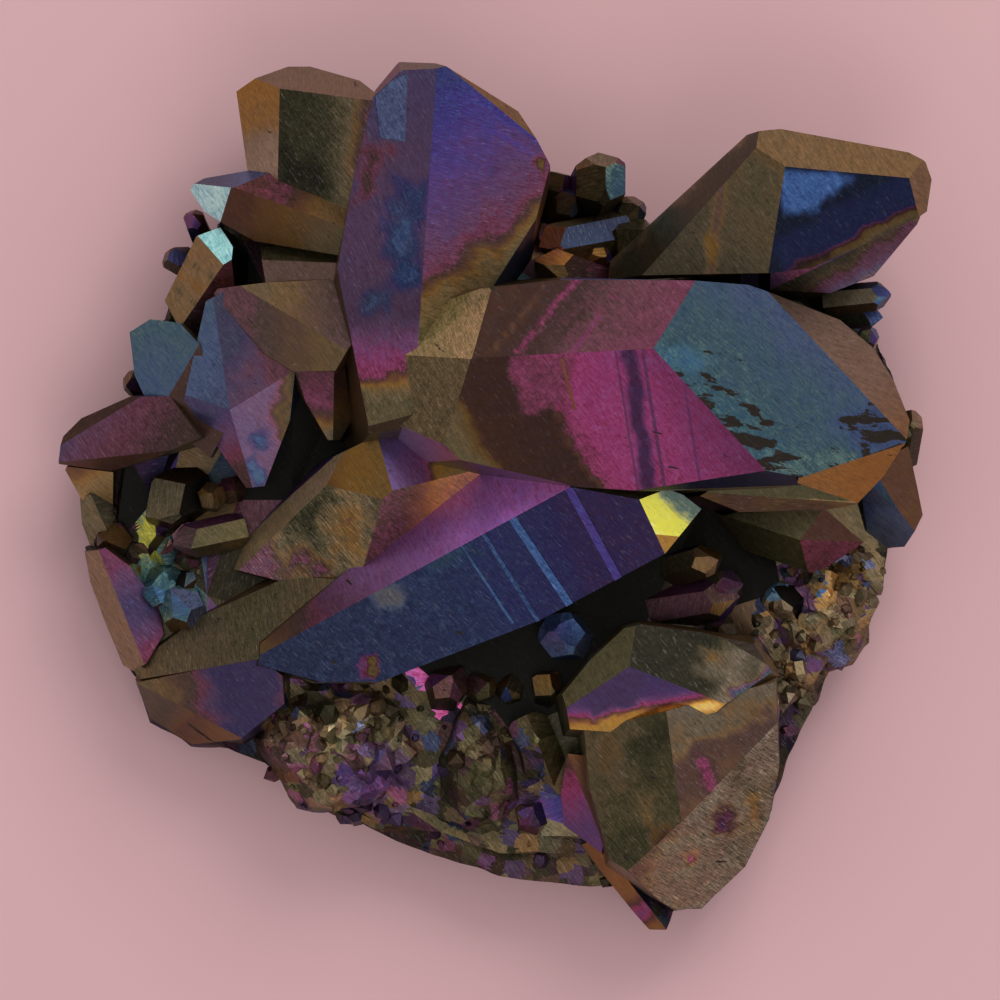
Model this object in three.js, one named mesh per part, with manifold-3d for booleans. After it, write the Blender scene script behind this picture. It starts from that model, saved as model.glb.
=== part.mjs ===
// Aura quartz cluster: metal-coated quartz crystals grown together on a broken plate of matrix.
// Millimetres, +Z up. The cluster lies on the flat underside of its matrix, at z = 0.
// Every crystal is intergrown with its neighbours, so the whole specimen is one solid.

import * as THREE from "three";
import { mergeVertices } from "three/addons/utils/BufferGeometryUtils.js";
import Module from "manifold-3d";

const wasm = await Module();
wasm.setup();

// ---------- driving dimensions ----------

const CEILING = 42; // above every crystal
const BLOCK_MARGIN = 12; // room round a crystal's outline in the block it is cut from
const CLEAN_UP = 0.05; // corners closer than this are merged

// The matrix. Fullness below 1 makes its rounded form boxier.
const CREVICE_FLOOR = 11; // height between the crystals
const RIM_HEIGHT = 7; // where it reaches farthest out
const BASE_DEPTH = 9.5; // below the rim, before its flat underside is cut
const CROWN_FULLNESS = 0.4;
const BASE_FULLNESS = 0.55;
const BASE_TAPER = 0.12; // how much narrower it is at the bottom, as a share
const MATRIX_WOBBLE = 0.05; // unevenness of its outline, as a share
const MATRIX_ROUGHNESS = 0.9; // unevenness of its height

// Small quartz points. All but the lean are in crystal widths.
const RHOMB_LEAN = 51.8; // degrees between a tip face's normal and the crystal's axis
const SHOULDER = 0.5; // from the axis to a prism edge near the tip
const FOOT_FLARE = 0.56; // the same at the foot
const TIP_REACH = 0.1; // the main tip faces meet this far past the tip
const MINOR_SET_BACK = 0.12; // every other tip face stands back by this
const UNEVEN_SET_BACK = 0.22; // and each one by up to this besides

// Knobs crowded over a rough dome.
const KNOB_COVER = 0.96; // share of the dome's outline they cover
const KNOB_LEAN = 0.9; // how much they lean away from the dome's own direction
const KNOB_STAND = 0.35; // height of a tip above the dome, in knob widths
const KNOB_LENGTH = 1.5; // in knob widths

// ---------- helpers: planes and solids ----------

const radians = THREE.MathUtils.degToRad;

/** A repeatable random number generator, the same sequence for the same seed. */
function randomFrom(seed) {
  let state = seed;
  return () => {
    state = (state + 0x6d2b79f5) | 0;
    let mixed = Math.imul(state ^ (state >>> 15), 1 | state);
    mixed = (mixed + Math.imul(mixed ^ (mixed >>> 7), 61 | mixed)) ^ mixed;
    return ((mixed ^ (mixed >>> 14)) >>> 0) / 4294967296;
  };
}

/** A crystal face through a point: it looks towards an azimuth and dips below the level by an angle. */
function face(point, towards, dip) {
  const across = Math.sin(radians(dip));
  const normal = new THREE.Vector3(
    across * Math.cos(radians(towards)),
    across * Math.sin(radians(towards)),
    Math.cos(radians(dip)),
  );
  return { normal, offset: normal.dot(new THREE.Vector3(...point)) };
}

/** An upward crystal face through three of its corners. */
function facet(a, b, c) {
  const corner = new THREE.Vector3(...a);
  const first = new THREE.Vector3(...b).sub(corner);
  const second = new THREE.Vector3(...c).sub(corner);
  const normal = first.cross(second).normalize();
  if (normal.z < 0) normal.negate();
  return { normal, offset: normal.dot(corner) };
}

/** Height of the lowest of several faces above a place on the plan. */
function heightUnder(faces, [x, y]) {
  return Math.min(...faces.map((f) => (f.offset - f.normal.x * x - f.normal.y * y) / f.normal.z));
}

/** A geometry with positions only. */
function stripped(geometry) {
  geometry.deleteAttribute("normal");
  geometry.deleteAttribute("uv");
  return geometry;
}

/** A closed manifold solid from a three.js geometry. */
function solid(geometry) {
  const merged = mergeVertices(stripped(geometry), 1e-4);
  const mesh = new wasm.Mesh({
    numProp: 3,
    vertProperties: new Float32Array(merged.attributes.position.array),
    triVerts: new Uint32Array(merged.index.array),
  });
  return new wasm.Manifold(mesh);
}

/** What is left of a solid behind every one of the faces. */
function cutBy(body, faces) {
  let left = body;
  for (const { normal, offset } of faces) {
    left = left.trimByPlane([-normal.x, -normal.y, -normal.z], -offset);
  }
  return left;
}

/** Side faces below a crystal's plan outline, given counter-clockwise; each leans by its own dip. */
function sideFaces(tops, ring, dips) {
  return ring.map((plan, index) => {
    const next = ring[(index + 1) % ring.length];
    const start = new THREE.Vector3(plan[0], plan[1], heightUnder(tops, plan));
    const end = new THREE.Vector3(next[0], next[1], heightUnder(tops, next));
    const along = end.clone().sub(start).normalize();
    const outward = new THREE.Vector3(along.y, -along.x, 0).normalize();
    const upward = outward.clone().cross(along).normalize();
    if (upward.z < 0) upward.negate();
    const dip = radians(dips[index]);
    const normal = outward.multiplyScalar(Math.sin(dip)).addScaledVector(upward, Math.cos(dip));
    return { normal, offset: normal.dot(start) };
  });
}

/** An outline that isn't convex and counter-clockwise would cut the crystal away. */
function checkConvex(ring) {
  ring.forEach((corner, index) => {
    const before = ring[(index + ring.length - 1) % ring.length];
    const after = ring[(index + 1) % ring.length];
    const turn = (corner[0] - before[0]) * (after[1] - corner[1])
      - (corner[1] - before[1]) * (after[0] - corner[0]);
    if (turn <= 0) throw new Error(`outline bends inwards at ${corner}`);
  });
}

/**
 * One crystal: its upward faces, its outline seen from above, how steeply its sides go down
 * (over 90 is undercut), the faces under an overhanging end, and the height where it ends in
 * the matrix.
 */
function crystal({ tops, ring, dips, under = [], foot }) {
  checkConvex(ring);
  const box = new THREE.Box2();
  for (const plan of ring) box.expandByPoint(new THREE.Vector2(...plan));
  const size = box.getSize(new THREE.Vector2());
  const centre = box.getCenter(new THREE.Vector2());
  const block = new THREE.BoxGeometry(
    size.x + BLOCK_MARGIN,
    size.y + BLOCK_MARGIN,
    CEILING - foot,
  );
  block.translate(centre.x, centre.y, (CEILING + foot) / 2);
  return cutBy(solid(block), [...tops, ...under, ...sideFaces(tops, ring, dips)]);
}

/** A small six-sided quartz point from its foot to its tip, with six uneven tip faces. */
function quartzPoint({ foot, tip, width, roll, seed }) {
  const random = randomFrom(seed);
  const from = new THREE.Vector3(...foot);
  const to = new THREE.Vector3(...tip);
  const length = from.distanceTo(to);
  const rodLength = length + width;
  const rod = new THREE.CylinderGeometry(SHOULDER * width, FOOT_FLARE * width, rodLength, 6);
  rod.rotateY(radians(roll));
  rod.translate(0, rodLength / 2, 0);
  const turn = new THREE.Quaternion().setFromUnitVectors(
    new THREE.Vector3(0, 1, 0),
    to.clone().sub(from).normalize(),
  );
  const tipFaces = [];
  for (let side = 0; side < 6; side += 1) {
    const angle = radians(side * 60 + roll + 30);
    const lean = radians(RHOMB_LEAN);
    const normal = new THREE.Vector3(
      Math.sin(lean) * Math.cos(angle),
      Math.cos(lean),
      -Math.sin(lean) * Math.sin(angle),
    );
    const setBack = (side % 2) * MINOR_SET_BACK + UNEVEN_SET_BACK * random();
    const offset = (length + (TIP_REACH - setBack) * width) * normal.y;
    normal.applyQuaternion(turn);
    tipFaces.push({ normal, offset: offset + normal.dot(from) });
  }
  rod.applyQuaternion(turn);
  rod.translate(from.x, from.y, from.z);
  return cutBy(solid(rod), tipFaces);
}

/** A rough lump of broken or fine-grained quartz: a ball with uneven corners. */
function lump({ centre, radii, rough, seed }) {
  const random = randomFrom(seed);
  const ball = mergeVertices(stripped(new THREE.IcosahedronGeometry(1, 1)), 1e-4);
  const corners = ball.attributes.position;
  const corner = new THREE.Vector3();
  for (let index = 0; index < corners.count; index += 1) {
    corner.fromBufferAttribute(corners, index);
    corner.multiplyScalar(1 + rough * (2 * random() - 1));
    corners.setXYZ(index, corner.x, corner.y, corner.z);
  }
  ball.scale(...radii);
  ball.translate(...centre);
  return solid(ball);
}

// ---------- the matrix ----------

// Where the matrix reaches farthest out, counter-clockwise from the right.
const MATRIX_RIM = [
  [39.5, 0], [39.6, -4.5], [38.8, -8.6], [36, -13.4], [32.6, -18], [29.5, -22.5], [26.5, -29],
  [22, -35.5], [14, -38], [7, -37.2], [-1, -36.4], [-8, -35], [-14, -33.4], [-19, -29.5],
  [-23, -25], [-30, -23.5], [-35.2, -18.5], [-38.2, -13], [-40, -6], [-39.5, 2], [-35.8, 8],
  [-34, 14], [-31.5, 20], [-27.2, 27], [-23.6, 34], [-18.5, 39.3], [-10, 40], [-2, 37], [3, 33.2],
  [9, 29], [16, 25.5], [25, 24.5], [32, 22.4], [36.4, 17], [38.6, 10],
].reverse();

const rimCurve = new THREE.CatmullRomCurve3(
  MATRIX_RIM.map(([x, y]) => new THREE.Vector3(x, y, 0)),
  true,
);

const rimSamples = rimCurve.getSpacedPoints(360).map((p) => ({
  angle: Math.atan2(p.y, p.x),
  radius: Math.hypot(p.x, p.y),
}));

/** How far the matrix reaches in a direction, from the nearest sample of its rim. */
function rimRadius(angle) {
  const nearness = (sample) => Math.cos(sample.angle - angle);
  return rimSamples.reduce((a, b) => (nearness(b) > nearness(a) ? b : a)).radius;
}

/** The matrix: a boxy, uneven ball spread out to its rim and cut off level underneath. */
function matrix() {
  const random = randomFrom(71);
  const ball = mergeVertices(stripped(new THREE.IcosahedronGeometry(1, 5)), 1e-4);
  const corners = ball.attributes.position;
  for (let index = 0; index < corners.count; index += 1) {
    const level = corners.getY(index);
    const crown = level > 0;
    const angle = Math.atan2(-corners.getZ(index), corners.getX(index));
    const spread = Math.hypot(corners.getX(index), corners.getZ(index));
    const share = spread ** (crown ? CROWN_FULLNESS : BASE_FULLNESS);
    const taper = crown ? 1 : 1 + BASE_TAPER * level;
    const wobble = 1 + MATRIX_WOBBLE * (2 * random() - 1);
    const radius = rimRadius(angle) * share * taper * wobble;
    const height = crown ? CREVICE_FLOOR - RIM_HEIGHT : BASE_DEPTH;
    const rise = level * height + MATRIX_ROUGHNESS * (2 * random() - 1);
    corners.setXYZ(index, radius * Math.cos(angle), radius * Math.sin(angle), RIM_HEIGHT + rise);
  }
  return solid(ball);
}

// ---------- the large crystals ----------

// The broad main crystal lies with its axis level, pointing right; its top corner joins three faces.
const MAIN_TOP = [15.2, 15, 36];
const MAIN_ROOT = [-3.2, 14, 35.6];
const MAIN_TIP_FACE = face(MAIN_TOP, 7, 37);
const MAIN_NEAR_TIP_FACE = face([40.3, 5.5, 18], 321, 53.7);

const mainCrystal = crystal({
  tops: [
    face(MAIN_TOP, 93, 30), // far prism face
    face(MAIN_TOP, 273, 30), // near prism face
    MAIN_TIP_FACE,
    MAIN_NEAR_TIP_FACE,
    face([27, 20.5, 26.6], 27, 57.5), // tip face on the far side
    facet([14, 1, 27.9], [25.7, 3, 29.1], [27, 1.2, 24.5]), // narrow step under the near edge
    face(MAIN_ROOT, 190, 50),
    face(MAIN_ROOT, 141.4, 54.6),
  ],
  ring: [
    [-13.5, 9], [-4, 4], [8, 1.3], [14, 0.9], [29.9, 1.5], [40.4, 5.4], [41, 8], [39.4, 12],
    [37.4, 15.2], [34, 18], [24.7, 21.4], [19, 21.8], [6, 21.9], [-2, 21], [-13.5, 17],
  ],
  dips: [72, 84, 88, 88, 96, 108, 108, 104, 100, 98, 92, 88, 88, 76, 70],
  under: [face([40.6, 7, 15.5], -5, 128), face([37, 16, 15], 45, 128)],
  foot: 8,
});

// The near tip face reaches down past the step as a low foot.
const mainFoot = crystal({
  tops: [MAIN_TIP_FACE, MAIN_NEAR_TIP_FACE],
  ring: [[29.6, 1.7], [35.8, -0.3], [38.4, 2.4], [40.4, 5.6], [36, 6], [30, 3.4]],
  dips: [100, 100, 100, 92, 88, 88],
  foot: 9,
});

// The long blade lies in front of it and climbs to the upper right.
const BLADE_TOP = [7, 1.3, 27];

const blade = crystal({
  tops: [
    face(BLADE_TOP, 264.4, 25.8), // near prism face, with growth steps
    face(BLADE_TOP, 136.3, 41.4), // far prism face
    face([13.9, 0, 26.7], -3.6, 40.6), // tip face
    face(BLADE_TOP, 78, 55), // far tip face
  ],
  ring: [
    [-24.2, -16.5], [-18, -18.2], [-12, -18.2], [4, -12], [16.5, -5.3], [20.1, -0.9], [18.3, 0.5],
    [8, 4.6], [2, 5], [-3.5, 2.6], [-15.5, -7.2], [-24, -14.4],
  ],
  dips: [84, 88, 92, 94, 98, 92, 88, 86, 86, 84, 78, 80],
  foot: 9,
});

// Its lower left end widens into an older, duller growth, with a broken end below.
const BLADE_END = [-24, -15.7, 16.9];

const bladeRoot = crystal({
  tops: [face(BLADE_END, 136.3, 40)],
  ring: [
    [-36.2, -18], [-24, -15.9], [-15.4, -8], [-21, -7.6], [-30, -11.6], [-35.4, -15.6],
    [-36.7, -17.2],
  ],
  dips: [88, 80, 80, 72, 66, 86, 92],
  foot: 4,
});

const bladeStub = crystal({
  tops: [
    face([-24, -15.7, 16.3], 136.3, 40),
    face([-24, -15.7, 16.3], 235, 33),
    face([-30, -22, 10.4], 240, 64),
  ],
  ring: [
    [-36.6, -18], [-35.2, -22], [-31, -24.6], [-26, -24], [-21.6, -20.4], [-21.8, -17.6],
    [-24.4, -15.5], [-36.4, -17.2],
  ],
  dips: [86, 78, 74, 76, 80, 80, 80, 90],
  foot: 4,
});

// The slab leans back from the middle to the top edge.
const SLAB_RIDGE = [-7.5, 25, 30.5];
const SLAB_CREST = [-6.3, 42.5, 33];

const slab = crystal({
  tops: [
    facet(SLAB_RIDGE, SLAB_CREST, [3.5, 30, 25.9]),
    facet(SLAB_RIDGE, SLAB_CREST, [-15, 31, 27.1]),
    face([-2, 40, 30.8], 30, 54),
    face([-10, 43.2, 29], 100, 76),
    face([-11.5, 41.5, 29], 140, 76),
    face([-11, 7.2, 25.8], 262, 55),
  ],
  ring: [
    [-13.2, 6.4], [-9.4, 7.2], [3.6, 28], [5, 33.4], [3.6, 36], [1.8, 38.7], [-6.4, 43.4],
    [-10, 43.6], [-12.4, 40.8], [-14.6, 32], [-16.2, 23],
  ],
  dips: [76, 84, 88, 94, 96, 96, 96, 94, 92, 86, 78],
  under: [face([-8, 43.6, 15], 100, 130), face([2.5, 38, 14], 40, 130)],
  foot: 5,
});

// The tan crystal stands out over the edge at the top right.
const TAN_TOP = [28.4, 33.2, 27];
const TAN_END = [40.8, 32.1, 23.9];
const TAN_FOOT = [27.1, 25, 27];

const tanCrystal = crystal({
  tops: [
    facet(TAN_TOP, [14, 23, 24.1], TAN_FOOT),
    facet(TAN_TOP, [24.8, 35.7, 26], TAN_END),
    facet(TAN_TOP, TAN_FOOT, TAN_END),
    face(TAN_END, 9.5, 50.6),
    face([22, 31, 25.8], 142, 62),
  ],
  ring: [
    [11, 22], [27, 22.6], [31, 23.1], [36, 25.3], [42.6, 28.8], [43.1, 32], [42.5, 33.7],
    [40.8, 34.7], [28, 37], [24.6, 36.4], [11, 23.9],
  ],
  dips: [84, 96, 98, 100, 106, 108, 106, 102, 98, 94, 84],
  under: [
    face([42.4, 32, 16], 25, 138),
    face([39, 27, 14], -60, 122),
    face([28, 36.6, 15], 130, 126),
  ],
  foot: 5,
});

// A flatter, striated crystal grows parallel to it, just beneath.
const tanTwin = crystal({
  tops: [
    facet([27, 25, 21.5], [41.5, 30, 19.5], [37.5, 22.5, 17]),
    face([36, 25.5, 19], -60, 40),
    face([41, 28, 19], 20, 60),
  ],
  ring: [[27, 21], [33, 20.7], [37.4, 22.4], [42, 28.2], [42.4, 30.6], [38, 31.5], [27, 27]],
  dips: [84, 92, 100, 104, 100, 92, 84],
  under: [face([40.4, 27.5, 12], -20, 132)],
  foot: 5,
});

// ---------- the medium crystals, from the top left round the left side ----------

const oliveCorner = crystal({
  tops: [
    facet([-22, 41.1, 20.5], [-14, 40, 24], [-22.2, 32.5, 20]),
    facet([-22, 41.1, 20.5], [-22.2, 32.5, 20], [-26.4, 40.7, 15.5]),
    facet([-22, 41.1, 20.5], [-14, 40, 24], [-20, 43.4, 15.5]),
  ],
  ring: [
    [-25.2, 32.4], [-22, 30.6], [-15, 28.2], [-12, 34], [-12.4, 40.5], [-14, 41.9], [-19, 43.4],
    [-21.2, 43.4], [-26.4, 40.9],
  ],
  dips: [88, 80, 80, 84, 88, 94, 98, 98, 98],
  under: [face([-19, 43, 10], 110, 128), face([-26, 38, 9.5], 175, 128)],
  foot: 4,
});

const plumPoint = crystal({
  tops: [
    facet([-26.5, 31.2, 21.5], [-15.5, 27.2, 25.5], [-22, 33, 18.5]),
    facet([-26.5, 31.2, 21.5], [-15.5, 27.2, 25.5], [-24, 25.8, 19]),
    facet([-26.8, 31.3, 21.4], [-28, 27.9, 18], [-30.5, 31, 16.8]),
    facet([-26.6, 31.2, 21.4], [-24.9, 31.7, 21], [-30, 31.8, 17]),
  ],
  ring: [
    [-31, 31], [-29.6, 28.9], [-24.6, 25.9], [-16, 24.4], [-14, 28], [-15, 29.4], [-22.2, 32.7],
    [-24.4, 33.1], [-29.6, 32.2],
  ],
  dips: [104, 98, 88, 80, 80, 84, 90, 98, 104],
  under: [face([-30.6, 31, 12.5], 175, 140)],
  foot: 5,
});

const flashPoint = crystal({
  tops: [
    facet([-28.3, 22.6, 18.5], [-32.5, 24, 14], [-31.5, 18, 16.5]),
    facet([-28.3, 22.6, 18.5], [-31.5, 18, 16.5], [-29.6, 18, 16]),
    facet([-30.2, 25.6, 16.2], [-28, 27, 16.4], [-27.5, 23.8, 18.8]),
  ],
  ring: [[-33.6, 20], [-32, 17], [-29, 16], [-26.5, 21], [-26.7, 25.3], [-28, 27.3], [-30.4, 26.4]],
  dips: [92, 84, 80, 80, 84, 98, 98],
  foot: 6,
});

const tealPlate = crystal({
  tops: [
    facet([-31, 14, 18.2], [-37, 17, 15.2], [-34, 9, 15]),
    facet([-31, 14, 18.2], [-34, 9, 15], [-28, 6, 16.5]),
  ],
  ring: [
    [-37.1, 16.8], [-36.6, 12.5], [-35, 9], [-29, 4.2], [-27.5, 7], [-30, 15.5], [-32, 17.7],
    [-35, 18.1],
  ],
  dips: [98, 96, 92, 88, 84, 84, 90, 96],
  under: [face([-36.8, 16, 9.5], 150, 132)],
  foot: 4,
});

const mauvePlate = crystal({
  tops: [
    facet([-28.5, 19, 20.2], [-31, 11, 17.8], [-27, 9, 19.2]),
    facet([-28.5, 19, 20.2], [-27, 9, 19.2], [-22, 13, 20.7]),
    facet([-27, 9, 19.2], [-22.5, 12, 20.6], [-25, 2, 14.8]),
    facet([-27, 9, 19.2], [-31, 10, 17.4], [-25, 2, 14.8]),
  ],
  ring: [
    [-31.6, 10], [-25.4, 1.2], [-23.6, 1.4], [-21, 8], [-20, 16], [-27.5, 20.9], [-29.4, 19.8],
  ],
  dips: [90, 90, 90, 84, 80, 88, 92],
  foot: 7,
});

const mauveBlock = crystal({
  tops: [
    facet([-27, 22, 21], [-17, 16, 24.5], [-18, 20, 23]),
    facet([-27, 22, 21], [-17, 16, 24.5], [-24, 15.5, 21.5]),
  ],
  ring: [
    [-28.6, 20.6], [-23.5, 14.6], [-20.5, 12.8], [-16.4, 12.9], [-14.5, 16], [-15, 20.6],
    [-17, 22], [-23.4, 21.7], [-28.2, 21.1],
  ],
  dips: [84, 84, 88, 84, 80, 80, 84, 92, 92],
  foot: 8,
});

const mauveShelf = crystal({
  tops: [
    facet([-23.7, 24, 19.4], [-15, 23.6, 22.4], [-15.6, 20.4, 23]),
    facet([-23.7, 24, 19.4], [-15, 23.6, 22.4], [-18, 25.6, 18.8]),
  ],
  ring: [[-23.9, 25.3], [-23.4, 21.6], [-15.5, 20], [-14.8, 24.5], [-18, 25.7]],
  dips: [96, 84, 84, 84, 92],
  foot: 8,
});

const magentaStub = crystal({
  tops: [
    facet([-20.5, 13, 22.5], [-16, 13.5, 22.5], [-17.4, 6.5, 18.8]),
    facet([-16.6, 13, 22.3], [-15.4, 8.5, 18.5], [-16.6, 6.4, 18.6]),
  ],
  ring: [[-19.4, 9.8], [-17.2, 6], [-16, 6], [-14.8, 8], [-15.6, 14], [-20.6, 13.6]],
  dips: [88, 88, 88, 84, 80, 84],
  foot: 8,
});

// The crystal across the middle left: gold and violet upper faces, a dark glittering flank.
const goldShoulder = crystal({
  tops: [
    facet([-10.5, -4, 19.3], [-3, 2, 20.5], [-10.6, 1.1, 23.3]), // olive, against the blade
    facet([-10.8, 1.2, 23.2], [-2.5, 3, 21], [-12, 5.6, 22.2]), // violet
    facet([-10.8, 1.2, 23.2], [-12, 5.6, 22.2], [-17.2, 1.5, 20.8]), // gold
    facet([-17.4, 1.4, 20.7], [-15.3, 5.4, 20.9], [-25.5, -6.4, 12.6]), // tan
    facet([-16.9, 0.3, 20.4], [-12.9, -0.7, 22], [-25.5, -6.4, 12.6]), // dark flank
  ],
  ring: [
    [-26.7, -7], [-21, -8.4], [-15, -7.9], [-10, -5], [-2.2, 1.2], [-1.2, 5], [-4, 8.4],
    [-12, 6.6], [-16.5, 4.4], [-21, 0.4], [-25.6, -4],
  ],
  dips: [84, 80, 80, 80, 80, 80, 84, 88, 84, 82, 84],
  foot: 8,
});

const mauveEdge = crystal({
  tops: [
    facet([-43.8, 4.4, 13], [-37, 10.2, 14.5], [-32.5, 5, 17]),
    facet([-44, 3.8, 13], [-32.5, 5, 17], [-38, 3, 12.5]),
    face([-41.5, 7.4, 13], 130, 55),
  ],
  ring: [
    [-44.2, 3.6], [-39, 2.9], [-34.4, 4.2], [-30, 6.2], [-33, 10.4], [-37, 10.4], [-42, 8.2],
    [-43.8, 6.4],
  ],
  dips: [100, 90, 84, 80, 84, 96, 102, 104],
  under: [face([-43.8, 5, 9], 180, 138)],
  foot: 4,
});

const tanWedge = crystal({
  tops: [
    facet([-43.4, 3, 12], [-38.9, 2.2, 11.5], [-39.3, -1, 8.5]),
    face([-41, 3.2, 12], 80, 50),
  ],
  ring: [[-43.6, 3], [-42, 0], [-39.8, -2.2], [-38.9, -0.7], [-38.7, 3.2], [-43, 3.9]],
  dips: [100, 96, 88, 84, 80, 100],
  foot: 3,
});

// The rim crystal along the lower left edge: a ridge between a tan outer and a blue inner face.
const leftRim = crystal({
  tops: [
    facet([-39.8, -6.2, 12.2], [-35.8, -16.2, 11], [-41.6, -8, 8]),
    facet([-39.8, -6.2, 12.2], [-35.8, -16.2, 11], [-34.4, -11, 10]),
  ],
  ring: [
    [-41.7, -5.2], [-41.2, -8], [-39.8, -12], [-37.9, -16.6], [-36.8, -17.2], [-35.5, -16.4],
    [-33.8, -13.5], [-34.2, -10.6], [-37.2, -6.6], [-39.6, -4.8],
  ],
  dips: [92, 96, 94, 94, 92, 88, 84, 80, 80, 84],
  foot: 3,
});

const leftBud = crystal({
  tops: [
    facet([-40.4, -1, 9.8], [-38.8, -4.6, 9], [-42, -3, 7.6]),
    facet([-40.4, -1, 9.8], [-38.8, -4.6, 9], [-38, 0, 8.6]),
  ],
  ring: [[-42.2, 0.2], [-42, -2.4], [-41.2, -4.6], [-38.6, -5], [-38.4, -1], [-40, 1]],
  dips: [96, 96, 96, 84, 84, 88],
  foot: 3,
});

// ---------- the crystals round the right side ----------

const stripedBar = crystal({
  tops: [
    facet([20, 0.8, 19], [35.6, -0.3, 17], [30, 1.8, 18]),
    facet([20, 0.8, 19], [35.6, -0.3, 17], [24, -1, 17.5]),
  ],
  ring: [[20, 0.4], [24, -1.2], [32.5, -1], [35.9, -0.4], [31, 2.4], [24, 3]],
  dips: [84, 88, 92, 96, 84, 80],
  foot: 8,
});

const maroonPoint = crystal({
  tops: [
    facet([22.5, -1.4, 16.5], [32.4, -0.8, 16.8], [30, -4, 17.6]),
    facet([22.5, -1.6, 16.5], [30, -4, 17.6], [30.8, -7, 14]),
    facet([36.4, -4.2, 13], [30, -4, 17.6], [32.4, -0.8, 16.8]),
    facet([36.4, -4.2, 13], [30, -4, 17.6], [32, -6.6, 13.6]),
    facet([36.4, -4.2, 13], [32.4, -0.8, 16.8], [35.6, -0.4, 14]),
  ],
  ring: [
    [22.4, -1.6], [24.6, -5.1], [31.2, -7.3], [32.8, -6.7], [36.4, -4.3], [36.8, -3.8],
    [35.8, -0.3], [32.4, -0.2], [26, -0.4],
  ],
  dips: [84, 92, 96, 100, 100, 100, 92, 84, 84],
  foot: 7,
});

const maroonEdge = crystal({
  tops: [
    facet([39, 4.2, 15.5], [42.2, -1, 12.5], [37.4, 1.6, 15.5]),
    facet([37.5, 1.7, 15.2], [40.8, -2, 13], [36.2, 0, 12.5]),
    facet([40.6, -2, 13], [36.5, -3, 11.5], [39, -4.7, 10.8]),
  ],
  ring: [
    [36.3, 0.2], [37, -4], [39, -4.8], [40.6, -4.7], [42.4, -1.5], [41.8, 1.4], [40.9, 5.4],
    [39, 4.4],
  ],
  dips: [84, 88, 92, 96, 100, 100, 96, 84],
  under: [face([42.2, -1.5, 8], -5, 135)],
  foot: 4,
});

// A broken mass at the lower right: a domed upper body over a wider lower one.
const BROKEN_PEAK = [12.9, -16.7, 24];

const brokenUpper = crystal({
  tops: [
    facet(BROKEN_PEAK, [6.2, -19.4, 20], [13.1, -12.9, 22.6]),
    facet(BROKEN_PEAK, [21.4, -20.5, 22], [20, -14.3, 21]),
    facet([12.9, -16.7, 23.9], [11.6, -21.4, 20.6], [21.4, -20.9, 21.2]),
    face([24.5, -16, 20.4], 50, 48),
  ],
  ring: [
    [6.2, -19.4], [7, -22.9], [13, -23.3], [21.6, -21.2], [27.2, -17.2], [25.4, -14.4],
    [20, -13.2], [14, -12.4], [12.4, -12.8], [9, -16],
  ],
  dips: [84, 84, 84, 80, 84, 84, 88, 88, 88, 88],
  foot: 7,
});

const brokenLower = crystal({
  tops: [
    facet([17, -24, 21.2], [27.2, -19.5, 19.6], [19.4, -32.3, 19]),
    facet([17, -24, 21.2], [17.6, -30.5, 19.6], [8, -24.2, 18]),
    facet([22.5, -27.6, 19.2], [27.3, -23.2, 18.6], [24.5, -36.4, 11.5]),
    facet([19.4, -32.3, 18.6], [16.7, -37.4, 14], [24.5, -36.6, 11.4]),
    face([20.2, -40.6, 10], 290, 62),
  ],
  ring: [
    [8.4, -23], [9, -29], [11, -36], [16, -40.2], [17.5, -41.2], [20.3, -41], [24.6, -36.8],
    [27, -32], [27.9, -27], [27.6, -18.2], [21.6, -19.6],
  ],
  dips: [84, 84, 80, 84, 90, 92, 92, 90, 88, 84, 84],
  under: [face([19, -41, 5.4], 275, 132), face([27.8, -29, 6.5], -12, 128)],
  foot: 2,
});

const orangeSliver = crystal({
  tops: [
    facet([7, -26, 15], [9.8, -33, 13.5], [6.2, -32, 11]),
    facet([7, -26, 15], [9.8, -33, 13.5], [10.2, -28.6, 14]),
  ],
  ring: [
    [6.1, -29.4], [6.4, -32.6], [10.2, -35.4], [10.8, -32], [10.3, -28.4], [8.4, -25.6], [6.8, -25.4],
  ],
  dips: [92, 88, 84, 84, 84, 88, 92],
  foot: 4,
});

const lowerSliver = crystal({
  tops: [
    facet([9.6, -34, 12.5], [15.8, -42, 8.5], [12, -39.5, 8]),
    facet([9.6, -34, 12.5], [15.8, -42, 8.5], [14, -38, 9.5]),
  ],
  ring: [
    [8.2, -34.6], [10.2, -37.4], [13.4, -41.4], [15, -43.2], [16.7, -43.2], [17.3, -41.6],
    [10.4, -33.4],
  ],
  dips: [88, 92, 96, 96, 92, 84, 84],
  under: [face([16, -43.2, 5.2], 282, 138)],
  foot: 2,
});

// ---------- the small crystals: foot and tip of each axis, width across, turn about the axis ----------

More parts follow.
